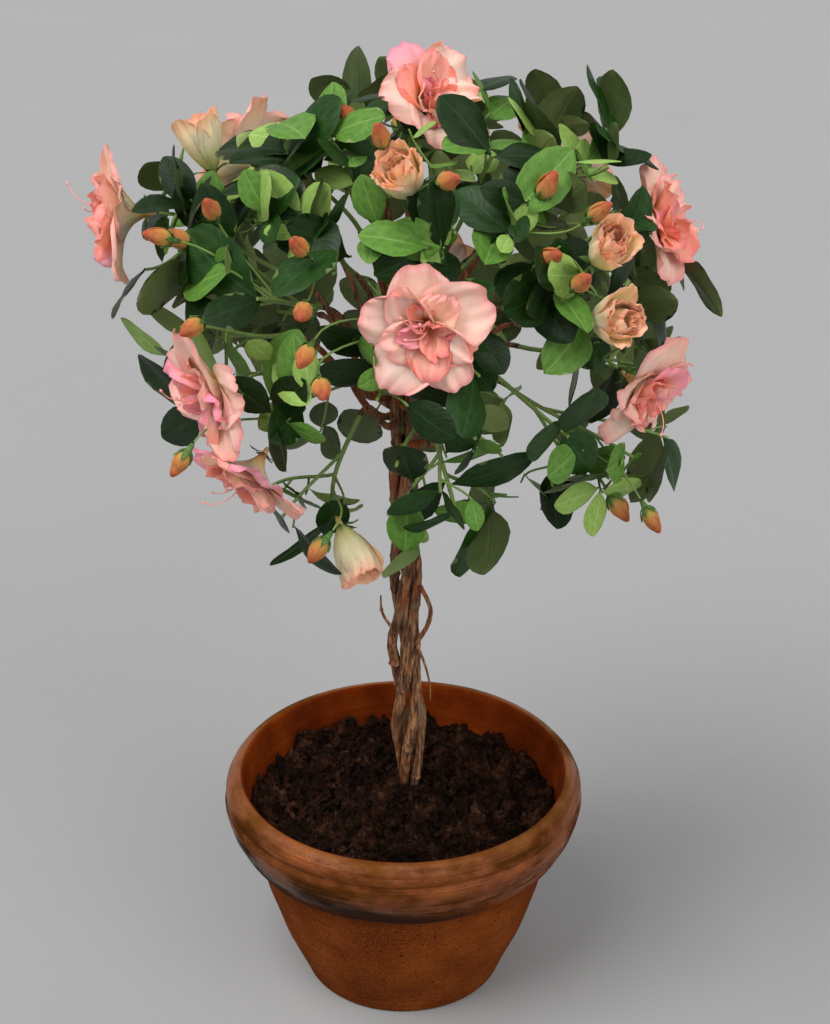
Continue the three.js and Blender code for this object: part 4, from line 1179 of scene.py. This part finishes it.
def build_pot(material):
    """Turned pot with shallow throwing rings and a slightly uneven wall."""
    profile = np.array(refined(POT_PROFILE, WALL_STEP))
    spins = np.arange(POT_SIDES) / POT_SIDES * TURN
    rings = []
    for radius, height in profile:
        thrown = sum(math.sin(height * pitch + phase) * share
                     for pitch, phase, share in THROWING_RINGS)
        wobble = np.array([noise.noise(Vector((
            math.cos(a) * WALL_PITCH[0], math.sin(a) * WALL_PITCH[0], height * WALL_PITCH[1])))
            for a in spins])
        reach = radius + thrown * THROWING_RELIEF + wobble * WALL_WANDER
        rings.append(np.stack([
            reach * np.cos(spins), reach * np.sin(spins),
            height + wobble * (LIP_WANDER if height > SHOULDER_HEIGHT else 0)], axis=1))
    ends = [(0, 0, POT_FOOT_HEIGHT), (0, 0, POT_FLOOR_HEIGHT)]
    heap = Heap(local=False)
    heap.add(np.vstack(rings + [ends]), closed_faces(len(rings), POT_SIDES))
    heap.piece("pot_turned", material, "terracotta", ["pot"])


def peat_height(x, y):
    """Height of the peat: rounded clods of several sizes with narrow gaps between them."""
    radius = math.hypot(x, y)
    place = Vector((x, y, 0))
    pushed = place * CLOD_SHIFT[0]
    shift = Vector((noise.noise(pushed), noise.noise(pushed + Vector((9, 4, 0))), 0))
    lumps = 0
    for key, (closeness, height) in enumerate(CLODS):
        spot = (place + shift * CLOD_SHIFT[1]) * closeness + Vector((0, 0, key * 5.3))
        lumps += (abs(noise.noise(spot)) * 2 - CLOD_GAP) * height
    lumps += noise.noise(place * SWELL[0] + Vector((0, 0, 21))) * SWELL[1]
    fade = min(1.0, max(0.0, (radius - SMOOTH_FOOT[0]) / SMOOTH_FOOT[1]))
    return spread(SOIL_DOME, radius) - SOIL_DROP + lumps * fade


def build_peat(material):
    """Rough bed of peat."""
    spins = np.arange(SOIL_SIDES) / SOIL_SIDES * TURN
    circle = np.stack([np.cos(spins), np.sin(spins)], axis=1)
    rings = []
    for radius, height in SOIL_WALL:
        rings.append([(radius * a, radius * b, height) for a, b in circle])
    for radius in np.linspace(SOIL_RADIUS, 1, SOIL_RINGS):
        rings.append([
            (radius * a, radius * b, peat_height(radius * a, radius * b)) for a, b in circle])
    ends = [(0, 0, SOIL_FLOOR), (0, 0, peat_height(0, 0))]
    bed = Heap(local=False)
    bed.add(np.vstack(rings + [ends]), closed_faces(len(rings), SOIL_SIDES))
    bed.piece("peat_bed", material, "peat", ["soil"])


def build_crumbs(material):
    """Loose crumbs that lie on the peat."""
    crumbs = Heap(local=False)
    draw = seeded_stream(CRUMB_SEED)
    faces = closed_faces(len(CRUMB_RINGS), CRUMB_SIDES)
    for number in range(CRUMBS + FOOT_CRUMBS):
        a = draw() * TURN
        if number < CRUMBS:
            radius, middle = SOIL_RADIUS * CRUMB_REACH * math.sqrt(draw()), 0
            size = mix(*CRUMB_SIZE, draw() ** 3)
        else:
            radius, middle = mix(*FOOT_REACH, draw()), TRUNK_BASE[0]
            size = mix(*FOOT_SIZE, draw())
        x, y = radius * math.cos(a) + middle, radius * math.sin(a)
        stretch = mix(*CRUMB_STRETCH, draw() ** 3)
        heading = draw() * TURN
        centre = np.array([x, y, peat_height(x, y) + size * CRUMB_SUNK])
        ahead, aside = math.cos(heading), math.sin(heading)
        along = np.array([ahead, aside, (draw() - 0.5) * CRUMB_TILT[0]]) * stretch
        beside = np.array([-aside, ahead, (draw() - 0.5) * CRUMB_TILT[1]])
        points = []
        for rise, girth in CRUMB_RINGS:
            for k in range(CRUMB_SIDES):
                b = k / CRUMB_SIDES * TURN
                reach = girth * mix(*CRUMB_ROUGH, draw())
                points.append(centre + size * (
                    along * rise + beside * math.cos(b) * reach
                    + np.array([0, 0, 1.0]) * math.sin(b) * reach))
        points += [centre - along * size * CRUMB_END, centre + along * size * CRUMB_END]
        crumbs.add(np.array(points), faces)
    crumbs.piece("peat_crumbs", material, "peat")


# ---------------------------------------------------------------- materials
def colour(text):
    """Linear colour from six hexadecimal digits."""
    values = [int(text[i:i + 2], 16) / 255 for i in (0, 2, 4)]
    return tuple(v / 12.92 if v <= 0.04045 else ((v + 0.055) / 1.055) ** 2.4
                 for v in values) + (1,)


class Wire:
    """What one node of a material gives out, and what can be made of it."""

    def __init__(self, recipe, socket):
        self.recipe, self.socket = recipe, socket

    def maths(self, operation, other=0.0):
        return self.recipe.node("ShaderNodeMath", {0: self, 1: other}, operation=operation)

    def __add__(self, other):
        return self.maths("ADD", other)

    def __sub__(self, other):
        return self.maths("SUBTRACT", other)

    def __mul__(self, other):
        return self.maths("MULTIPLY", other)

    def levels(self, low, high, first=0.0, last=1.0):
        """The value stretched so that low becomes first and high becomes last."""
        return self.recipe.node("ShaderNodeMapRange", {
            "Value": self, "From Min": low, "From Max": high, "To Min": first, "To Max": last})

    def ramp(self, stops):
        """Colour that runs through the stops, each a level and six hexadecimal digits."""
        made = self.recipe.tree.nodes.new("ShaderNodeValToRGB")
        self.recipe.fill(made, {0: self})
        elements = made.color_ramp.elements
        while len(elements) < len(stops):
            elements.new(1.0)
        for element, (at, tint) in zip(elements, stops):
            element.position = at
            element.color = colour(tint)
        return Wire(self.recipe, made.outputs[0])

    def tinted(self, share, tint):
        """This colour where the share is 0, and the tint where it is 1."""
        return self.recipe.blended(share, self, tint)

    def bump(self, strength, distance):
        return self.recipe.node("ShaderNodeBump", {
            "Height": self, "Strength": strength, "Distance": distance})

    def stretched(self, *scale):
        """A place with each of its axes multiplied."""
        return self.recipe.node("ShaderNodeVectorMath", {0: self, 1: scale}, operation="MULTIPLY")

    def axis(self, number):
        return self.recipe.node("ShaderNodeSeparateXYZ", {0: self}, number)

    def radius(self):
        """Distance of a place from the plant's upright axis."""
        flat = self.stretched(1, 1, 0)
        return self.recipe.node("ShaderNodeVectorMath", {0: flat}, "Value", operation="LENGTH")

    def noise(self, scale, detail=4.0, roughness=0.55):
        return self.recipe.node("ShaderNodeTexNoise", {
            "Vector": self, "Scale": scale, "Detail": detail, "Roughness": roughness}, "Fac")


class Recipe:
    """A node material built step by step on its own Principled shader."""

    def __init__(self, name, **settings):
        self.material = bpy.data.materials.new(name)
        self.material.use_nodes = True
        self.tree = self.material.node_tree
        self.shader = self.tree.nodes["Principled BSDF"]
        self.feed(**settings)

    def fill(self, node, inputs):
        """Gives inputs of a node their wires or plain values."""
        for key, value in inputs.items():
            if isinstance(value, Wire):
                self.tree.links.new(value.socket, node.inputs[key])
            else:
                node.inputs[key].default_value = value

    def feed(self, **inputs):
        """Gives the shader inputs, named with _ for a space."""
        self.fill(self.shader, {key.replace("_", " "): inputs[key] for key in inputs})
        return self.material

    def node(self, kind, inputs, output=0, **settings):
        made = self.tree.nodes.new(kind)
        for key, value in settings.items():
            setattr(made, key, value)
        self.fill(made, inputs)
        return Wire(self, made.outputs[output])

    def metres(self):
        """Place in the plant's own metres."""
        return self.node("ShaderNodeTexCoord", {}, "Object")

    def own_map(self):
        """Place on each leaf's, petal's or twig's own map."""
        return self.node("ShaderNodeUVMap", {}, uv_map=LOCAL_MAP)

    def sheet_map(self):
        """Own map, place along a leaf or petal, distance from its midline, and its underside."""
        place = self.own_map()
        x = place.axis(0)
        below = x.maths("GREATER_THAN", 0.5)
        off = (x * 2.0 - below - 0.5).maths("ABSOLUTE") * 2.0
        return place, place.axis(1), off, below

    def blended(self, share, a, b):
        """Colour a where the share is 0, and colour b where it is 1."""
        a, b = (colour(tint) if isinstance(tint, str) else tint for tint in (a, b))
        return self.node("ShaderNodeMix", {0: share, 6: a, 7: b}, 2, data_type="RGBA")


def leaf_material(name, gloss, deep, bright, rib, under, rim):
    """Dyed silk leaf: mottled face, pale midrib, pressed side veins, olive underside."""
    made = Recipe(name, Roughness=gloss, Specular_IOR_Level=0.2)
    place, along, off, below = made.sheet_map()
    mottle = place.stretched(9, 5, 1).noise(1.6)
    weave = place.stretched(60, 60, 1).noise(2.0, 1.0)
    veins = ((along * 9.0 - off * 3.0) * TURN).maths("SINE").levels(0.86, 1.0)
    midrib = off.levels(0.07, 0.02)
    face = made.blended(mottle.levels(0.35, 0.68), deep, bright)
    face = face.tinted(veins * 0.12, rib)
    face = face.tinted(off.levels(0.9, 0.99) * 0.5, rim)
    face = face.tinted(midrib * 0.5, rib)
    back = made.blended(mottle.levels(0.3, 0.7) * 0.3, under, rib)
    height = veins * -0.6 + midrib * -1.0 + weave * 0.35
    return made.feed(Base_Color=face.tinted(below, back), Normal=height.bump(0.35, 0.0006))


def petal_material(name, stops, streak, rim, speck):
    """Silk petal: shaded from its throat to its rim, with fine streaks and specks."""
    made = Recipe(name, Roughness=0.7, Specular_IOR_Level=0.2, Subsurface_Weight=0.4,
                  Subsurface_Radius=(1.0, 0.6, 0.3), Subsurface_Scale=0.004)
    place, along, off, _ = made.sheet_map()
    mottle = place.stretched(6, 4, 1).noise(1.2)
    streaks = place.stretched(46, 3.2, 1).noise(1.0, 3.0, 0.6)
    weave = place.stretched(90, 90, 1).noise(2.0, 1.0)
    face = (along + (mottle - 0.5) * 0.22).ramp(stops)
    face = face.tinted(streaks.levels(0.5, 0.72) * 0.4, streak)
    outer = off.levels(0.84, 1.0).maths("MAXIMUM", along.levels(0.93, 1.0))
    face = face.tinted(outer * 0.55, rim)
    dots = made.node("ShaderNodeTexVoronoi", {
        "Vector": place.stretched(38, 24, 1), "Scale": 1.0}, "Distance")
    zone = along.levels(0.2, 0.3) * along.levels(0.66, 0.5) * off.levels(0.7, 0.4)
    face = face.tinted(dots.levels(0.2, 0.12) * zone * 0.6, speck)
    return made.feed(Base_Color=face, Normal=(streaks + weave * 0.3).bump(0.4, 0.0008))


def plastic_material(name, base, other, gloss):
    """Moulded plastic or dyed wrapping, faintly mottled along its length."""
    made = Recipe(name, Roughness=gloss)
    place = made.own_map()
    mottle = place.stretched(3, 9, 1).noise(1.5)
    fine = place.stretched(20, 60, 1).noise(1.0)
    shown = made.blended(mottle.levels(0.35, 0.65), base, other)
    return made.feed(Base_Color=shown, Normal=fine.bump(0.3, 0.0003))


def bark_material():
    """Brown vine bark with rusty and grey patches, dark with peat at the foot."""
    made = Recipe("vine_bark", Roughness=0.82)
    place = made.metres()
    grain = place.stretched(1, 1, 0.14).noise(520, 6, 0.65)
    patches = place.noise(46, 3)
    orange = place.stretched(1, 1, 0.5).noise(90, 4)
    soiled = place.axis(2) + patches * 0.012
    shown = grain.ramp([(0.34, "1c1008"), (0.44, "4c2c16"), (0.54, "7c5030"), (0.66, "b08050")])
    shown = shown.tinted(orange.levels(0.5, 0.64) * 0.8, "8a3e12")
    shown = shown.tinted(patches.levels(0.54, 0.64) * 0.5, "84704c")
    shown = shown.tinted(soiled.levels(0.150, 0.140) * 0.9, "1a0f08")
    return made.feed(Base_Color=shown, Normal=(grain + patches * 0.5).bump(0.7, 0.0012))


def terracotta_material():
    """Thrown terracotta: sandy matte wall, charred band under the collar, waxed lip whose top is
    painted lighter ochre as a highlight.
    """
    made = Recipe("terracotta_clay")
    place = made.metres()
    x, z = place.axis(0), place.axis(2)
    rings = place.stretched(4, 4, 130).noise(1.0, 4)
    grooves = place.stretched(3, 3, 620).noise(1.0, 3)
    streaks = place.stretched(16, 16, 420).noise(1.0, 4, 0.6)
    burnt = place.stretched(1, 1, 2.2).noise(22, 6, 0.6)
    mottle = place.noise(28, 5)
    grit = place.noise(620, 3, 0.7)
    sand = place.noise(1300, 2, 0.6)
    pits = place.noise(420, 2, 0.5)
    wall = mottle.ramp([(0.3, "56240e"), (0.5, "682f0f"), (0.7, "7a3c17")])
    wall = wall.tinted(rings.levels(0.45, 0.7) * 0.3, "451d07")
    wall = wall.tinted(sand.levels(0.52, 0.68) * 0.6, "a05c22")
    wall = wall.tinted(pits.levels(0.36, 0.3) * 0.8, "2a1206")
    # The edges between the bands of the pot wander a little up and down.
    uneven = z + (mottle - 0.5) * 0.02
    collar = uneven.levels(0.106, 0.114)
    smoke = burnt * 0.78 + streaks * 0.22
    waxed_clay = smoke.ramp([
        (0.36, "38200a"), (0.45, "522a08"), (0.53, "6c3408"), (0.64, "88460e")])
    shown = wall.tinted(collar, waxed_clay)
    # The kiln's flame charred the left side most.
    charred = (burnt + x * 2.0).levels(0.64, 0.42)
    band = uneven.levels(0.097, 0.102) * (uneven + x * 0.1).levels(0.123, 0.109) * charred
    shown = shown.tinted(band * 0.88, "221a14")
    # Painted highlight: the top of the lip is tinted lighter ochre, as where the lamps catch it.
    shown = shown.tinted(uneven.levels(0.143, 0.1475) * 0.3, "8a5626")
    inner = place.radius().levels(0.1062, 0.1050) * z.levels(0.108, 0.112)
    inside = mottle.ramp([(0.3, "4e1a02"), (0.5, "662606"), (0.7, "7c340a")])
    shown = shown.tinted(inner, inside)
    shown = shown.tinted(grit.levels(0.74, 0.8) * 0.5, "b89878")
    waxed = collar * smoke.levels(0.42, 0.54) * (inner * -1.0 + 1.0)
    height = grit * 0.9 + rings * 0.8 + grooves * 0.6
    return made.feed(
        Base_Color=shown, Roughness=waxed.levels(0, 1, 0.88, 0.24),
        Specular_IOR_Level=waxed.levels(0, 1, 0.03, 0.26), Normal=height.bump(0.6, 0.0014))


def peat_material():
    made = Recipe("dark_peat", Roughness=0.95, Specular_IOR_Level=0.06)
    place = made.metres()
    coarse = place.noise(150, 6, 0.7)
    fine = place.noise(900, 4, 0.7)
    patchy = coarse * 0.6 + place.noise(60, 2) * 0.4
    shown = patchy.ramp([(0.36, "080503"), (0.47, "20120b"), (0.56, "3a2216"), (0.66, "5e4030")])
    return made.feed(Base_Color=shown, Normal=(coarse + fine * 0.5).bump(1.0, 0.005))


def floor_material():
    made = Recipe("pale_floor", Roughness=0.9)
    return made.feed(Base_Color=made.blended(made.metres().noise(3), "929292", "979797"))


# ---------------------------------------------------------------- foliage pieces
# Share of the sprays that each tone has.
TONE_SHARES = {"deep": 0.30, "dark": 0.27, "mid": 0.24, "light": 0.19}
# Young leaves are small and light, old ones large and deep green.
LEAF_GROWTH = {"deep": (0.98, 1.3), "dark": (0.94, 1.28), "mid": (0.8, 1.14),
               "light": (0.7, 1.03)}
# Roughness of each tone, and its deep and bright face, rib, underside and rim.
LEAF_TINTS = {
    "deep": (0.4, "0d2006", "16300a", "203c14", "56633a", "1c3c0c"),
    "dark": (0.42, "15320c", "224412", "2e4e22", "627042", "28501c"),
    "mid": (0.46, "4c742b", "618b38", "84a458", "7e8e52", "608636"),
    "light": (0.5, "80a24a", "94b45e", "b0c484", "8e9e60", "a0784a"),
}
# Share of the leaves that differ from their spray.
OWN_TONE = 0.25
# Pieces of petals: material, shades from throat to rim, streaks, rim and specks.
PETAL_TINTS = {
    "petals_peach": ("petal_peach", [
        (0.0, "f69a48"), (0.14, "fdc870"), (0.28, "ffe4ac"), (0.48, "ffe2cc"), (0.74, "ffccb8"),
        (1.0, "fea49c")], "ffb8a4", "f6827e", "a83848"),
    "petals_rose": ("petal_rose", [
        (0.0, "f6a060"), (0.16, "fec88c"), (0.34, "ffcdb8"), (0.6, "ffb4b0"), (1.0, "f890a4")],
        "f898a4", "e8708c", "a83f68"),
    "petals_salmon": ("petal_salmon", [
        (0.0, "f67c3c"), (0.2, "fea868"), (0.4, "ffbc94"), (0.7, "ffac98"), (1.0, "fc8a84")],
        "fa8470", "f26c6c", "a84450"),
    "petals_apricot": ("petal_apricot", [
        (0.0, "bccc6c"), (0.2, "f2e28c"), (0.45, "ffecb0"), (0.74, "ffdeb0"), (1.0, "ffb494")],
        "ffcca4", "ff987c", "d87c60"),
    "buds_rust": ("bud_rust", [
        (0.0, "7e9040"), (0.16, "b49c46"), (0.36, "c8904a"), (0.7, "c06c3c"), (1.0, "a04430")],
        "8e4224", "b85c44", "6e3020"),
}
# Other pieces of the flowers: slot, then material, two tints and roughness.
FITTINGS = {
    "sepals": ("twigs", "sepal_green", "2f5a28", "5f8038", 0.55),
    "flower_tubes": ("petals", "flower_tube", "e8c07a", "e8a878", 0.6),
    "stigmas": ("twigs", "stigma_pink", "f4b0a4", "e88a88", 0.55),
}
# Around a flower no leaf grows: how far out, how far forward, and its flare.
CLEARINGS = {"bloom": (38, 46, 0.22), "half": (18, 36, 0.0)}
# Places along a leaf that are held against the clearings, and how far these reach back.
LEAF_SPOTS = [0.25, 0.5, 0.75, 1.0]
CLEARING_BACK = 3
TWIG_SIDES = 6


def in_flower(leaf, flowers):
    """Whether a leaf would pierce or cover a flower."""
    spots = leaf.at + np.outer(LEAF_SPOTS, leaf.way) * leaf.length
    for flower in flowers:
        reach, forward, flare = CLEARINGS[flower.kind]
        off = spots - flower.at
        rise = off @ flower.axis
        out = norm(off - np.outer(rise, flower.axis), axis=1)
        ahead = (rise < forward) & (rise > flare * out - CLEARING_BACK)
        if ((out < reach * flower.shrink) & ahead).any():
            return True
    return False


def pick_tone(draw):
    value = draw()
    for tone, share in TONE_SHARES.items():
        if value < share:
            return tone
        value -= share
    return tone


def dress_leaves(heaps, mass, kept, flowers, draw):
    """Leaves of a mass, spray by spray; gives the places where any stand."""
    previous = None
    leafy = set()
    for leaf in mass.leaves:
        if previous is None or norm(leaf.at - previous) > 1:
            tone = pick_tone(draw)
            previous = leaf.at
        own = pick_tone(draw) if draw() < OWN_TONE else tone
        if draw() < kept and not in_flower(leaf, flowers):
            add_leaf(heaps[own], leaf, LEAF_GROWTH[own], draw)
            leafy.add(tuple(leaf.at))
    return leafy


def dress_twigs(heap, mass, leafy):
    """Twigs of a mass; a fine one is left out where it bears no leaf."""
    for twig in mass.twigs:
        fine = twig.kind == "fine"
        if fine and tuple(twig.ends[2]) not in leafy:
            continue
        points = curve(*twig.ends, 6 if fine else 10)
        radii = np.interp(np.linspace(0, 1, len(points)),
                          np.linspace(0, 1, len(twig.radii)), twig.radii)
        add_tube(heap, points, radii, TWIG_SIDES)


def build_foliage(masses):
    leaves = {tone: Heap() for tone in LEAF_TINTS}
    twigs = Heap()
    heaps = {name: Heap() for name in (*PETAL_TINTS, *FITTINGS)}
    draw = seeded_stream(DRESSING_SEED)
    open_flowers = [
        flower for mass in masses.values() for flower in mass.flowers if flower.kind != "bud"]
    for name, mass in masses.items():
        kept = OPEN_MASSES.get(name, FULL_MASS)
        dress_twigs(twigs, mass, dress_leaves(leaves, mass, kept, open_flowers, draw))
        for flower in mass.flowers:
            if name.startswith("back_") and flower.kind == "bloom":
                flower.shrink *= BACK_BLOOM
            drawn = SimpleNamespace(**vars(flower))
            if flower.kind == "bloom":
                drawn.shrink *= FRONT_BLOOMS.get(name, 1)
            add_flower(heaps, drawn, draw)
    foliage = ["foliage_" + name for name in masses]
    for tone, tints in LEAF_TINTS.items():
        nodes = foliage if tone == "dark" else ()
        leaves[tone].piece("leaves_" + tone, leaf_material("leaf_" + tone, *tints), "leaves", nodes)
    twigs.piece("green_twigs", plastic_material("twig_green", "5f7a38", "7f9a4a", 0.5), "twigs")
    for name, look in PETAL_TINTS.items():
        heaps[name].piece(name, petal_material(*look), "petals")
    for name, (slot, *look) in FITTINGS.items():
        heaps[name].piece(name, plastic_material(*look), slot)


# ---------------------------------------------------------------- floor, light and camera
# All in metres. Broad studio lights: name, where each stands, its strength, and how broad
# it looks in degrees.
LIGHTS = [
    ("key", (-1.3, -0.95, 3.0), 2.65, 40),
    ("fill", (1.5, -1.9, 2.0), 1.35, 50),
]
LIGHT_AIM = (0, 0, 0.35)
SKY_STRENGTH = 0.5
FLOOR_HALF = 20.0
CAMERA_PLACE = (0.0077, -1.0983, 0.8677)
CAMERA_TILT = 64
CAMERA_LENS = 70.3


def build_stage():
    """Floor, even white sky, lamps and the photo's camera."""
    mesh = bpy.data.meshes.new("floor")
    corners = [(-1, -1), (1, -1), (1, 1), (-1, 1)]
    mesh.from_pydata([(x * FLOOR_HALF, y * FLOOR_HALF, 0) for x, y in corners], [], [(0, 1, 2, 3)])
    mesh.materials.append(floor_material())
    linked("floor", mesh)
    world = bpy.data.worlds.new("studio")
    bpy.context.scene.world = world
    world.use_nodes = True
    sky = world.node_tree.nodes["Background"].inputs
    sky[0].default_value = (1.0, 1.0, 1.0, 1)
    sky[1].default_value = SKY_STRENGTH
    for name, place, energy, breadth in LIGHTS:
        lamp = bpy.data.lights.new(name, "SUN")
        lamp.energy = energy
        lamp.angle = math.radians(breadth)
        light = linked(name, lamp)
        light.location = place
        aim = Vector(LIGHT_AIM) - Vector(place)
        light.rotation_euler = aim.to_track_quat("-Z", "Y").to_euler()
    bpy.context.scene.view_settings.view_transform = "Standard"
    lens = bpy.data.cameras.new("camera")
    lens.lens = CAMERA_LENS
    camera = linked("camera", lens)
    camera.location = CAMERA_PLACE
    camera.rotation_euler = (math.radians(CAMERA_TILT), 0, 0)
    bpy.context.scene.camera = camera


boughs, masses = grow_plant()
bark = bark_material()
build_pot(terracotta_material())
peat = peat_material()
build_peat(peat)
build_crumbs(peat)
build_bark(boughs, bark)
build_foliage(masses)
build_stage()
